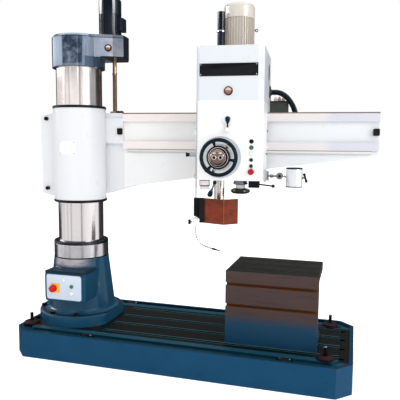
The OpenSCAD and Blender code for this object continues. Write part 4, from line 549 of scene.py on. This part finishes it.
def studio_light():
    """White all round for the soft light, and for reflections a pale hall, dark behind the machine, with a cloudy dark
    front high up. Bearings run from the back, clockwise from above, in degrees. Heights are sines of the elevation."""
    world = bpy.data.worlds.new("soft_studio")
    world.use_nodes = True
    scene.world = world
    tree = world.node_tree
    tree.nodes.clear()
    way = add(tree, "ShaderNodeTexCoord").outputs["Generated"]
    x, y, z = add(tree, "ShaderNodeSeparateXYZ", {0: way}).outputs
    bearing = add(tree, "ShaderNodeMath", {0: x, 1: y}, operation="ARCTAN2").outputs[0]
    spread = add(tree, "ShaderNodeCombineXYZ", {0: bearing, 1: z}).outputs[0]
    stretched = add(tree, "ShaderNodeMapping", {"Vector": spread, "Scale": (2.4, 80.0, 1.0)}).outputs[0]
    noise = add(tree, "ShaderNodeTexNoise", {"Vector": stretched, "Scale": 1.0, "Detail": 4.0}).outputs[0]
    clouds = add(tree, "ShaderNodeMapRange", {0: noise, 1: 0.42, 2: 0.68, 3: 0.03, 4: 0.75}).outputs[0]
    level, edge = 1.24, 0.004
    # Heights that the top housing, the lifting motor's fins and its hood mirror, and all heights
    housing, fins, hood, every = (0.137, 0.192), (0.192, 0.2315), (0.2315, 0.4), (-2, 2)
    for centre, half, soft, shade, low, high in (
        (-20, 66, 8, 0.05, -2, 0), (1, 59, 14, 0.05, 0, 2), (113, 14, 10, 1.4, *every),
        (-106, 12, 3, 1.05, -2, -0.11), (-92, 20, 10, 0.86, -0.11, 2), (-136, 1.6, 2, 0.75, *every),
        (-157.5, 2, 2.5, 0.72, *every), (148.5, 2, 2.5, 0.42, *every), (77, 3, 5, 0.1, 0, 2),
        (180, 60, 10, 0.3, -2, -0.225), (-170, 70, 10, 0.2, -0.06, -0.012), (91, 5, 5, 9.0, -0.06, 0.03),
        (-100, 34, 4, 2.7, *housing), (112, 24, 3, 0.8, *housing), (12, 74, 4, 0.05, *housing),
        (-146, 12, 2, clouds, *housing), (163.5, 26.5, 2, clouds, *housing), (156.5, 2.2, 1.2, 2.6, *housing),
        (180, 46, 4, 0.04, fins[0], hood[1]), (-88, 18, 4, 1.0, *fins), (112, 20, 4, 0.22, *fins),
        (-92, 18, 3, 18.0, *hood), (116, 12, 3, 22.0, *hood),
    ):
        off = add(tree, "ShaderNodeMath", {0: bearing, 1: math.radians(centre)}, operation="SUBTRACT").outputs[0]
        wrapped = add(tree, "ShaderNodeMath", {0: off, 1: math.pi, 2: -math.pi}, operation="WRAP").outputs[0]
        away = add(tree, "ShaderNodeMath", {0: wrapped}, operation="ABSOLUTE").outputs[0]
        mask = add(tree, "ShaderNodeMapRange", {0: away, 1: math.radians(half + soft), 2: math.radians(half)},
                   interpolation_type="SMOOTHSTEP").outputs[0]
        above = add(tree, "ShaderNodeMapRange", {0: z, 1: low - edge, 2: low + edge}).outputs[0]
        below = add(tree, "ShaderNodeMapRange", {0: z, 1: high + edge, 2: high - edge}).outputs[0]
        level = add(tree, "ShaderNodeMix", {0: both(tree, mask, above, below), 2: level, 3: shade}).outputs[0]
    overhead = add(tree, "ShaderNodeMapRange", {0: z, 1: 0.5, 2: 0.8, 4: 2.4},
                   interpolation_type="SMOOTHSTEP").outputs[0]
    seen = add(tree, "ShaderNodeMath", {0: level, 1: overhead}, operation="MAXIMUM").outputs[0]
    path = add(tree, "ShaderNodeLightPath")
    soft_level = add(tree, "ShaderNodeMix", {0: path.outputs["Is Glossy Ray"], 2: 0.65, 3: seen}).outputs[0]
    shown = add(tree, "ShaderNodeMix", {0: path.outputs["Is Camera Ray"], 2: soft_level, 3: 1.0}).outputs[0]
    back = add(tree, "ShaderNodeBackground", {"Color": (1.0, 1.0, 1.0, 1.0), "Strength": shown})
    add(tree, "ShaderNodeOutputWorld", {"Surface": back.outputs[0]})

    for name, at, aim, size, watts in (
        ("key_softbox", (0.5, -5.2, 4.2), (0.9, 0.0, 1.2), 3.2, 44),
        ("fill_softbox", (5.4, -3.4, 3.2), (1.2, 0.0, 1.2), 3.0, 106),
        ("top_softbox", (0.9, 0.6, 5.6), (0.9, 0.0, 0.0), 4.0, 60),
        ("rear_softbox", (0.5, 5.0, 3.4), (0.9, 0.0, 1.2), 3.2, 60),
    ):
        light = bpy.data.lights.new(name, "AREA")
        light.energy = watts
        light.size = size
        lamp = bpy.data.objects.new(name, light)
        lamp.location = at
        lamp.rotation_euler = (Vector(aim) - Vector(at)).to_track_quat("-Z", "Y").to_euler()
        lamp.visible_glossy = False
        scene.collection.objects.link(lamp)


# Shapes, drawn in millimetres

def turned(profile, steps=48, closed=False):
    """A turned form about Z, from its outline as (radius, height)."""
    bm = bmesh.new()
    verts = [bm.verts.new((radius, 0.0, height)) for radius, height in profile]
    edges = [bm.edges.new(pair) for pair in zip(verts, verts[1:] + (verts[:1] if closed else []))]
    bmesh.ops.spin(bm, geom=verts + edges, cent=(0, 0, 0), axis=(0, 0, 1), angle=math.tau, steps=steps, use_merge=True)
    bmesh.ops.remove_doubles(bm, verts=bm.verts[:], dist=0.001)
    bmesh.ops.recalc_face_normals(bm, faces=bm.faces[:])
    return bm


def hoop(inner, outer, height, edge, steps=48):
    """A flat ring that stands on its back, with both front edges rounded off."""
    return turned([(inner, 0), (outer, 0), (outer, height - edge), (outer - edge * 0.3, height - edge * 0.3),
                   (outer - edge, height), (inner + edge, height), (inner + edge * 0.3, height - edge * 0.3),
                   (inner, height - edge)], steps, closed=True)


def block(width, depth, height, edge, steps=3):
    """A block about its own middle with all its edges rounded."""
    bm = bmesh.new()
    bmesh.ops.create_cube(bm, size=1.0)
    bmesh.ops.scale(bm, vec=(width, depth, height), verts=bm.verts[:])
    bmesh.ops.bevel(bm, geom=bm.edges[:], offset=edge, segments=steps, profile=0.5, affect="EDGES", material=-1)
    return bm


def plate(width, thick, height, corner, edge):
    """A plate that faces -Y, about its own middle, with round corners and a softened front rim."""
    bm = bmesh.new()
    bmesh.ops.create_cube(bm, size=1.0)
    bmesh.ops.scale(bm, vec=(width, thick, height), verts=bm.verts[:])
    across = [e for e in bm.edges if abs(e.verts[0].co.y - e.verts[1].co.y) > thick / 2]
    bmesh.ops.bevel(bm, geom=across, offset=corner, segments=6, profile=0.5, affect="EDGES", material=-1)
    rim = [e for e in bm.edges if all(v.co.y < 0 for v in e.verts)]
    bmesh.ops.bevel(bm, geom=rim, offset=edge, segments=2, profile=0.5, affect="EDGES", material=-1)
    return bm


def hexagon(radius, height, bore):
    """A hexagon nut with chamfered corners, standing on its back."""
    bm = bmesh.new()
    bmesh.ops.create_circle(bm, cap_ends=True, segments=6, radius=radius)
    raised = bmesh.ops.extrude_face_region(bm, geom=bm.faces[:])["geom"]
    bmesh.ops.translate(bm, vec=(0, 0, height), verts=[g for g in raised if isinstance(g, bmesh.types.BMVert)])
    top = [f for f in bm.faces if f.calc_center_median().z > height * 0.9]
    bmesh.ops.inset_individual(bm, faces=top, thickness=radius * 0.12, depth=height * 0.12)
    bmesh.ops.recalc_face_normals(bm, faces=bm.faces[:])
    return joined([bm, put(hoop(bore, bore + 2.5, 2, 0.8, 24), (0, 0, height * 1.1))])


def swept(path, radii, sides, caps=True):
    """A round tube along a path, with its own radius at each point."""
    bm = bmesh.new()
    path = [Vector(p) for p in path]
    count = len(path)
    ways = [(path[min(i + 1, count - 1)] - path[max(i - 1, 0)]).normalized() for i in range(count)]
    turn = Vector((0, 0, 1)).rotation_difference(ways[0])
    frames = []
    for i in range(count):
        if i:
            turn = ways[i - 1].rotation_difference(ways[i]) @ turn
        frames.append(Matrix.LocRotScale(path[i], turn, (radii[i],) * 3))
    bmesh.ops.create_circle(bm, cap_ends=False, segments=sides, radius=1.0, matrix=frames[0])
    first = ring = bm.edges[:]
    for i in range(1, count):
        grown = bmesh.ops.extrude_edge_only(bm, edges=ring)["geom"]
        verts = [g for g in grown if isinstance(g, bmesh.types.BMVert)]
        kept = set(verts)
        ring = [g for g in grown if isinstance(g, bmesh.types.BMEdge) and all(v in kept for v in g.verts)]
        bmesh.ops.transform(bm, matrix=frames[i] @ frames[i - 1].inverted(), verts=verts)
    if caps:
        bmesh.ops.holes_fill(bm, edges=first + ring, sides=0)
    bmesh.ops.recalc_face_normals(bm, faces=bm.faces[:])
    return bm


def put(bm, at=(0, 0, 0), axis=None, turn=0.0):
    """Turns a form about Z, lays its Z along an axis and moves it."""
    if turn:
        bmesh.ops.rotate(bm, cent=(0, 0, 0), matrix=Matrix.Rotation(turn, 3, "Z"), verts=bm.verts[:])
    if axis:
        lay = Vector((0, 0, 1)).rotation_difference(Vector(axis)).to_matrix()
        bmesh.ops.rotate(bm, cent=(0, 0, 0), matrix=lay, verts=bm.verts[:])
    bmesh.ops.translate(bm, vec=Vector(at), verts=bm.verts[:])
    return bm


def joined(forms):
    """Several forms in one mesh."""
    whole = bmesh.new()
    for bm in forms:
        part = bpy.data.meshes.new("part")
        bm.to_mesh(part)
        bm.free()
        whole.from_mesh(part)
        bpy.data.meshes.remove(part)
    return whole


def piece(name, bm, body, finish, frame_of=ARM, crease=32):
    """Makes a finished piece of a form, in metres in the row frame, riding on a body."""
    bmesh.ops.transform(bm, matrix=frame_of @ Matrix.Scale(MM, 4), verts=bm.verts[:])
    mesh = bpy.data.meshes.new(name)
    bm.to_mesh(mesh)
    bm.free()
    mesh.shade_smooth()
    mesh.set_sharp_from_angle(angle=math.radians(crease))
    mesh.materials.append(finish)
    made = bpy.data.objects.new(name, mesh)
    scene.collection.objects.link(made)
    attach(made, body)
    return made


def screw_head(radius, height):
    """A low round screw head with a socket in it."""
    outline = ((0, 0.45), (0.5, 0.45), (0.52, 0.9), (0.6, 1), (0.86, 0.86), (1, 0.5), (1, 0), (0, 0))
    return turned([(radius * r, height * h) for r, h in outline], 20)


def dome(radius, height, rim=0.0):
    """A shallow dome on a flat back, with a straight rim."""
    arc = [(radius * math.cos(a), rim + height * math.sin(a)) for a in (math.radians(15 * i) for i in range(6))]
    return turned([(0, 0), (radius, 0)] + arc + [(0, rim + height)], 40)


# Pieces

def head_front():
    """What is on the front of the drill head."""
    plate_z = 2085.5
    blank = put(plate(400, 4, 85, 5, 1), (HEAD_X, HEAD_FACE - 2, plate_z))
    piece("front_plate", blank, "head", plate_black)
    screws = [put(screw_head(4.5, 3), (HEAD_X + x, HEAD_FACE - 4, plate_z + z), FRONT)
              for x in (-190, 190) for z in (-33, 33)]
    piece("front_plate_screws", joined(screws), "head", chrome)
    rim = turned([(25, 0), (30, 0), (30, 6), (28.5, 9.5), (26.5, 9.5), (24, 7), (24, 1)], 48, closed=True)
    sight = (HEAD_X, HEAD_FACE, 1944)
    piece("sight_bezel", put(rim, sight, FRONT), "head", black_oxide)
    glass = piece("sight_lens", put(dome(24.5, 5, 4), sight, FRONT), "head", oil_glass)
    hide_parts("sight_glass")

    buttons_x = 1384
    dark = [put(hoop(11.6, 15, 4.5, 1.5, 32), (buttons_x, HEAD_FACE, z), FRONT) for z in (1605, 1563.5)]
    dark.append(put(hoop(12, 20, 4, 1.5, 32), (buttons_x, HEAD_FACE, 1399), FRONT))
    piece("button_collars", joined(dark), "head", black_plastic)
    pale = [put(hoop(11.6, 15, 4.5, 1.5, 32), (buttons_x, HEAD_FACE, z), FRONT) for z in (1522, 1480.5, 1439)]
    piece("button_rings", joined(pale), "head", dial_aluminium)

    ticks, count = [], 72
    for i in range(count):
        reach = 8 if i % 6 == 0 else 5
        mark = put(block(1.1, reach, 0.5, 0.12, 1), (0, 141 - reach / 2, 0))
        ticks.append(put(mark, (HUB_X, HEAD_FACE - 15.1, HUB_Z), FRONT, i * math.tau / count))
    piece("dial_marks", joined(ticks), "head", black_plastic)
    dial = (HUB_X, HEAD_FACE - 15, HUB_Z)
    steps = [put(hoop(86, 106, 4, 1.5, 72), dial, FRONT), put(hoop(112, 126, 2.5, 1, 72), dial, FRONT)]
    piece("dial_steps", joined(steps), "head", dial_painted_reflections)
    dogs = []
    for x, z in ((55, 74), (-42, -90)):
        dog = joined([block(22, 26, 12, 2.5), put(screw_head(5, 4), (0, 0, 6))])
        dogs.append(put(dog, (HUB_X + x, HEAD_FACE - 24, HUB_Z + z), FRONT, -math.atan2(x, z)))
    piece("trip_dogs", joined(dogs), "head", ring_steel)

    disc = (HEAD_X, HEAD_FACE, 1757)
    piece("speed_disc", put(hoop(6, 46, 2, 0.8, 64), disc, FRONT), "head", plate_white)
    piece("speed_disc_line", put(hoop(46, 48, 2.4, 0.6, 64), disc, FRONT), "head", cowl_cream)
    charts = [put(plate(62, 1.2, 130, 3, 0.4), (x, HEAD_FACE - 0.6, 1763)) for x in (1072, 1366)]
    piece("blank_charts", joined(charts), "head", chart_cream)


def feed_controls():
    """Rings, eyes and spoke roots of the feed hub and the hand wheel, and the housing over the fine feed."""
    hub, hub_face = Vector((HUB_X, -402, HUB_Z)), -455
    ring = put(hoop(64, 69, 3.5, 1.2, 64), hub + Vector(FRONT) * 13, FRONT)
    piece("wheel_ring", ring, "handwheel", hub_edge)
    roots = []
    for angle in (131, 251, 371):
        way = Vector((math.cos(math.radians(angle)), 0, -math.sin(math.radians(angle))))
        root = turned([(0, 0), (8.6, 0), (9.2, 12), (11.5, 24), (15, 34), (11, 40), (0, 40)], 24)
        roots.append(put(root, hub + way * 76, way))
    piece("spoke_roots", joined(roots), "handwheel", bakelite)
    collar = put(hoop(50.05, 55, 12, 2, 64), (HUB_X, hub_face + 24, HUB_Z), FRONT)
    piece("hub_collar", collar, "feed_hub", hub_edge)
    eyes = [put(hoop(9.4, 17, 4.5, 1.5, 40), (HUB_X + x, hub_face, HUB_Z), FRONT) for x in (-22, 22)]
    piece("hub_eyes", joined(eyes), "feed_hub", hub_edge)
    plugs = [put(dome(8.9, 1.6, 6), (HUB_X + x, hub_face + 5, HUB_Z), FRONT) for x in (-22, 22)]
    piece("hub_plugs", joined(plugs), "feed_hub", black_plastic)
    marks = [put(block(19, 2, 5.5, 0.8), (HUB_X + x, hub_face - 2.4, HUB_Z + 30)) for x in (-20, 20)]
    piece("hub_marks", joined(marks), "feed_hub", plate_white)
    rim = turned([(0, 0), (40, 0), (52, 2), (62, 7), (67.4, 15), (68, 20), (65, 27), (56, 33), (44, 37), (34, 38),
                  (0, 38)], 72)
    foot = 1242
    rim = piece("fine_wheel_rim", put(rim, (FINE_X, FINE_Y, foot)), "fine_feed_wheel", fine_black)
    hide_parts("fine_feed_wheel")
    neck = turned([(0, 0), (32, 0), (32, 40), (30, 43), (22, 43), (22, 56), (0, 56)], 48)
    piece("fine_wheel_neck", put(neck, (FINE_X, FINE_Y, foot + 38)), "fine_feed_wheel", dial_aluminium)
    cup = turned([(33, 0), (45, 0), (50, 4), (50, 13), (46, 15), (46, 31), (33, 31)], 56, closed=True)
    piece("fine_feed_cup", put(cup, (FINE_X, FINE_Y, foot + 64)), "head", gear_steel)


def levers():
    """The speed lever with its pear-shaped knob and the engaging lever with its long one."""
    lever_y, lever_z = HEAD_FACE - 20, 1683
    rod = turned([(0, 0), (5.2, 0), (5.2, 30), (4.2, 34), (4.2, 60), (0, 60)], 24)
    boss = turned([(0, 0), (15, 0), (15, 26), (13, 30), (5, 31), (0, 31)], 40)
    rod = piece("speed_lever_rod", put(rod, (HEAD_X, lever_y, lever_z)), "speed_lever", black_oxide)
    boss = put(boss, (HEAD_X, HEAD_FACE - 5, lever_z), FRONT)
    piece("speed_lever_boss", boss, "speed_lever", head_white)
    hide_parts("speed_lever")
    pear = turned([(0, 0), (5.5, 0), (6.4, 2), (8.6, 12), (13, 22), (16.6, 32), (17.5, 39), (15.6, 47), (10.4, 53),
                   (4.6, 55.4), (0, 55.8)], 40)
    pear = put(pear, (HEAD_X, lever_y, lever_z + 35))
    piece("speed_lever_knob", pear, "speed_lever", bakelite)

    tilt, pivot = math.radians(22), (1124, -260, 1315)
    down = (-math.sin(tilt), 0, -math.cos(tilt))
    rod = turned([(0, 0), (6.2, 0), (6.2, 48), (8, 50), (8, 60), (0, 60)], 24)
    rod = piece("engage_rod", put(rod, pivot, down), "engage_lever", gear_steel)
    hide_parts("engage_lever")
    knob = turned([(0, 56), (6, 56), (9, 58), (14, 67), (17.6, 80), (18.5, 89), (17, 98), (12, 104.6), (5, 107.6),
                   (0, 108)], 40)
    boss = turned([(0, -11), (11.5, -11), (13, -9.5), (13, 9.5), (11.5, 11), (0, 11)], 40)
    knob = joined([put(knob, pivot, down), put(boss, pivot, FRONT)])
    piece("engage_knob", knob, "engage_lever", bakelite)


def hoses():
    """The corrugated conduit to the rear box and the wound coolant hose, with its nozzle."""
    def bend(points, t):
        while len(points) > 1:
            points = [a.lerp(b, t) for a, b in zip(points, points[1:])]
        return points[0]

    top, foot, lead = Vector((1475.6, CONDUIT_Y, CONDUIT_Z)), Vector((1616.1, BOX_Y, 1771)), Vector((30, 0, 0))
    bow = [top + lead, top + lead + Vector((110, 0, 0)), foot + lead + Vector((40, 0, 40)), foot + lead]
    path = [top + lead * i / 18 for i in range(18)] + [bend(bow, i / 200) for i in range(201)]
    path += [foot + lead * i / 18 for i in range(17, -1, -1)]
    radii = [(21, 20.2, 18, 20.2)[i % 4] for i in range(len(path))]
    tube = piece("conduit_tube", swept(path, radii, 24), "head", conduit_nylon, crease=60)
    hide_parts("conduit")

    route = [Vector((SPINDLE_X + x, SPINDLE_Y + y, 1337 + z)) for x, y, z in (
        (-139, -200, -341), (-139, -200, -365), (-137, -199, -390), (-131, -198, -415), (-120, -196, -440),
        (-104, -194, -461), (-84, -191, -477), (-62, -188, -489), (-38, -184, -498), (-14, -180, -505))]
    way = (route[-1] - route[-2]).normalized()
    fine = []
    for a, b in zip(route, route[1:]):
        fine += [a.lerp(b, i / 12) for i in range(12)]
    fine.append(route[-1])
    radii = [(6.0, 5.7, 5.2, 5.7)[i % 4] for i in range(len(fine))]
    hose = piece("coolant_hose_tube", swept(fine, radii, 16), "head", hose_steel, crease=60)
    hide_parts("coolant_hose")
    spout = turned([(0, 0), (7.5, 0), (7.5, 24), (6.5, 33), (4.4, 36), (4, 66), (3, 66), (3, 40), (0, 40)], 24)
    piece("coolant_nozzle", put(spout, route[-1] - way * 6, way), "head", grey_plastic)


def work_light():
    """The work lamp's shade, rims, lens and handle, and the cap on its joint."""
    at = (LAMP_X, LAMP_Y, LAMP_Z - 76.5)
    shell = turned([(0, 131), (50, 130), (54, 126), (54, 0), (56.4, 0), (57, 0.8), (57, 131), (55.6, 134.4),
                    (52, 136.4), (47, 137), (0, 137)], 64)
    shade = piece("lamp_shade", put(shell, at), "work_lamp", lamp_silver)
    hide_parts("work_lamp")
    rims = [turned([(56, 0.5), (58.2, 0.5), (58.2, 6), (56, 7)], 64, closed=True),
            turned([(0, 137.2), (47, 137.2), (52.4, 136.6), (56, 134.6), (58, 131), (58, 127), (56, 126),
                    (0, 126)], 64)]
    piece("lamp_rims", put(joined(rims), at), "work_lamp", black_plastic)
    disc = turned([(0, 12), (54, 12), (54, 17), (30, 18), (0, 18)], 48)
    piece("lamp_lens", put(disc, at), "work_lamp", lens_glass)
    stem = turned([(0, 0), (8, 0), (8, 3), (5, 6), (5, 24), (0, 24)], 24)
    bar = turned([(0, 0), (6, 0.8), (9, 4), (9.6, 10), (7, 26), (7, 42), (9.6, 58), (9, 64), (6, 67.2), (0, 68)], 24)
    grip = joined([put(stem, (LAMP_X + 55.5, LAMP_Y, LAMP_Z - 10), RIGHT),
                   put(bar, (LAMP_X + 66.5, LAMP_Y, LAMP_Z + 22), (0.3, 0, -0.954))])
    piece("lamp_handle", grip, "work_lamp", black_plastic)
    neck = turned([(0, 0), (6, 0), (6, 30), (11, 34), (11, 43), (0, 43)], 24)
    piece("lamp_neck", put(neck, (LAMP_X - 99, LAMP_Y, LAMP_Z), RIGHT), "work_lamp", chrome)
    knuckle = turned([(0, 0), (8, 0), (12, 4), (13.5, 12), (12, 20), (8, 24), (0, 24)], 32)
    knuckle = put(knuckle, (LAMP_X - 169.5, LAMP_Y, LAMP_Z), RIGHT)
    piece("lamp_knuckle", knuckle, "lamp_arm", gear_steel)
    cap = put(dome(10, 3, 2), (LAMP_X - 101, LAMP_Y - 22, LAMP_Z), FRONT)
    piece("lamp_joint_cap", cap, "lamp_arm", black_plastic)


def lift_thread():
    """The square thread along the lifting screw."""
    bm = bmesh.new()
    pitch, turns, steps = 8.0, 82, 20
    verts = [bm.verts.new((r, 0.0, z)) for r, z in ((15.6, 0.0), (17.2, 0.8), (17.2, 3.4), (15.6, 4.2))]
    edges = [bm.edges.new(pair) for pair in zip(verts, verts[1:] + verts[:1])]
    bmesh.ops.spin(bm, geom=verts + edges, cent=(0, 0, 0), axis=(0, 0, 1), dvec=(0, 0, pitch / steps),
                   angle=math.tau * turns, steps=steps * turns)
    bmesh.ops.recalc_face_normals(bm, faces=bm.faces[:])
    piece("lift_thread", put(bm, (SCREW_X, SCREW_Y, 1470)), "lift_screw", bronze)


def head_back():
    """Small fittings on the head's right side, on its motor and on the rear box."""
    grip = turned([(0, 0), (60, 0), (60, 1), (57, 2.4), (40, 1.4), (0, 1.2)], 56)
    bmesh.ops.scale(grip, vec=(1.0, 0.55, 1.0), verts=grip.verts[:])
    piece("side_grip", put(grip, (HEAD_SIDE, 119, 2119), RIGHT), "head", black_plastic)
    gibs = [put(screw_head(7, 4), (HEAD_SIDE, y, z), RIGHT) for y, z in ((94, 1687), (187, 1548), (-7, 1517))]
    piece("gib_screws", joined(gibs), "head", black_oxide)
    flange = put(block(7, 94, 94, 3), (HEAD_SIDE + 3.3, CONDUIT_Y, CONDUIT_Z))
    piece("conduit_flange", flange, "head", black_plastic)
    piece("tube_band", put(hoop(31.1, 33, 7, 1, 48), (SPINDLE_X, SPINDLE_Y, 2396)), "head", chrome)
    ring = [(9 + 3.5 * math.cos(i * math.tau / 14), 3.5 * math.sin(i * math.tau / 14)) for i in range(14)]
    foot = turned([(0, 0), (10, 0), (10, 7), (6, 11), (0, 12)], 28)
    at = Vector((1362, 110, 2425))
    eye = joined([put(turned(ring, 32, closed=True), at, FRONT), put(foot, at - Vector((24, 0, 0)), RIGHT)])
    piece("motor_eye", eye, "head", olive)
    lid_z = 1921
    piece("rear_box_lid", put(block(306, 100, 10, 2.5), (1449, BOX_Y, lid_z)), "head", black_plastic)
    for name, x, finish, slot in (
        ("white", 1498, white_plastic, "white_plastic"), ("pink", 1529, pink_plastic, "grey_plastic"),
        ("beige", 1560, beige_plastic, "grey_plastic"),
    ):
        nipple = turned([(0, 0), (9, 0), (9, 10), (6, 13), (0, 13)], 24)
        body = joined([put(block(27, 36, 26, 4), (x, BOX_Y, lid_z + 17)), put(nipple, (x, BOX_Y, lid_z + 29))])
        piece("connector_" + name, body, "head", finish)
    stem = turned([(0, 0), (7, 0), (7, 22), (4.5, 24), (0, 24)], 24)
    gland = put(joined([hexagon(13, 12, 7), put(stem, (0, 0, 5))]), (1454, BOX_Y - 28, lid_z + 4))
    piece("brass_gland", gland, "head", brass)


def column_top():
    """The oil eye on the front of the top housing, the screw's collar and the trip block beside the lifting nut."""
    way = (0.341, -0.940, 0)
    at = (268, -71.5, 2297)
    rim = turned([(19, 0), (27, 0), (27, 5), (24.5, 8), (21, 8), (18.5, 6), (18.5, 1)], 48, closed=True)
    piece("housing_eye_rim", put(rim, at, way), "column", black_oxide)
    piece("housing_eye", put(dome(19, 5, 4), at, way), "column", oil_glass)
    collar = turned([(15.8, 0), (18.5, 0), (19.5, 1.5), (19.5, 12), (18, 14), (15.8, 14)], 40, closed=True)
    piece("lift_screw_collar", put(collar, (SCREW_X, SCREW_Y, 2126)), "lift_screw", bronze)
    trip = joined([block(50, 40, 16, 2.5)] + [put(screw_head(6, 4), (x, 0, 8)) for x in (-12, 12)])
    piece("lift_trip_block", put(trip, (SCREW_X + 52, SCREW_Y - 28, 1831)), "arm", black_oxide)


def column_foot():
    """The turned clamp ring over the pedestal and the low black dust ring on it."""
    bore, foot, high = 176.5, 705, 99
    band = turned([(bore, 0), (210.5, 0), (212, 1.5), (212, high - 1.5), (210.5, high), (bore, high)], 128, closed=True)
    band = piece("clamp_ring_band", put(band, (0, 0, foot)), "base", ring_steel, BASE)
    lip = turned([(bore, 0), (206, 0), (206, 3), (210, 3), (212, 5), (212, 12), (210, 18), (205, 22), (198, 24.4),
                  (188, 25), (bore, 25)], 128, closed=True)
    lip = piece("dust_ring_lip", put(lip, (0, 0, foot + high)), "base", dust_black, BASE)
    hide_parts("clamp_ring")
    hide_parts("dust_ring")


def plates():
    """Bare plates and small fittings on the sleeve, the switch cabinet and the base."""
    bm = bmesh.new()
    verts = [bm.verts.new((200.4, 0.0, z)) for z in (0.0, 97.0)]
    edge = [bm.edges.new(verts)]
    bmesh.ops.spin(bm, geom=verts + edge, cent=(0, 0, 0), axis=(0, 0, 1), angle=math.radians(39), steps=13)
    bmesh.ops.recalc_face_normals(bm, faces=bm.faces[:])
    bmesh.ops.solidify(bm, geom=bm.faces[:], thickness=1.6)
    piece("sleeve_plate", put(bm, (0, 0, 1500), None, math.radians(-115.5)), "arm", plate_white)
    rivets = []
    for angle in (-113, -79):
        way = Vector((math.cos(math.radians(angle)), math.sin(math.radians(angle)), 0))
        rivets += [put(dome(3.4, 1.6), way * 201.6 + Vector((0, 0, z)), way) for z in (1507, 1590)]
    piece("sleeve_plate_rivets", joined(rivets), "arm", black_oxide)
    door = put(plate(322, 6.4, 220, 30, 2.5), (PANEL_X, PANEL_Y + 5.2, PANEL_Z))
    piece("cabinet_door", door, "base", blue, BASE)
    sheet = put(plate(290, 4, 188, 17, 0.8), (PANEL_X, PANEL_Y + 2, PANEL_Z))
    sheet = piece("panel_sheet", sheet, "base", panel_blue, BASE)
    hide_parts("switch_panel")
    piece("panel_lamp", put(dome(10, 5, 3), (PANEL_X + 2, PANEL_Y, PANEL_Z + 55), FRONT), "base", white_plastic,
          BASE)
    yellow = put(plate(74, 1.6, 72, 6, 0.5), (-40, PANEL_Y - 0.8, PANEL_Z - 9))
    piece("switch_plate", yellow, "base", plate_yellow, BASE)
    knob = turned([(0, 0), (27, 0), (28, 1.5), (28, 13), (26, 16), (25, 29), (22.5, 32), (0, 33)], 48)
    tip = turned([(0, 0), (8, 0), (7, 3), (1.5, 12), (0, 12.4)], 24)
    switch_z = PANEL_Z - 10
    knob = joined([put(knob, (-53, PANEL_Y - 1.8, switch_z), FRONT),
                   put(tip, (-75, PANEL_Y - 22, switch_z), (-1, 0, 0))])
    knob = piece("main_switch_knob", knob, "main_switch", red_plastic, BASE)
    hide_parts("main_switch")
    # Gloss black cups in the foundation wells: painted shade in the holes
    well_shade_cups = []
    for x, y in ((x, y) for x in WELLS_X for y in WELLS_Y):
        cup = turned([(50, -22), (50, 0.4), (48, 1), (45, 0), (38, -9), (17, -14), (17, -22)], 48, closed=True)
        bmesh.ops.scale(cup, vec=(1.0, 0.55, 1.0), verts=cup.verts[:])
        well_shade_cups.append(put(cup, (x, y, DECK_Z)))
    piece("foundation_well_shade_cups", joined(well_shade_cups), "base", plate_black, BASE)
    studs = ((-265, -310), (-265, 310), (1945, -335), (1945, 335))
    outline = [(22.5, 0), (58, 0), (57, 4), (44, 11), (30, 16), (22.5, 17)]
    cones = [put(turned(outline, 48, closed=True), (x, y, DECK_Z + 12)) for x, y in studs]
    piece("levelling_cones", joined(cones), "base", pad_primer, BASE)
    caps = [put(dome(11.6, 3.5), (x, y, DECK_Z + 84)) for x, y in studs]
    piece("stud_tops", joined(caps), "base", gear_steel, BASE)


stage()
head_front()
feed_controls()
levers()
hoses()
work_light()
lift_thread()
head_back()
column_top()
column_foot()
plates()
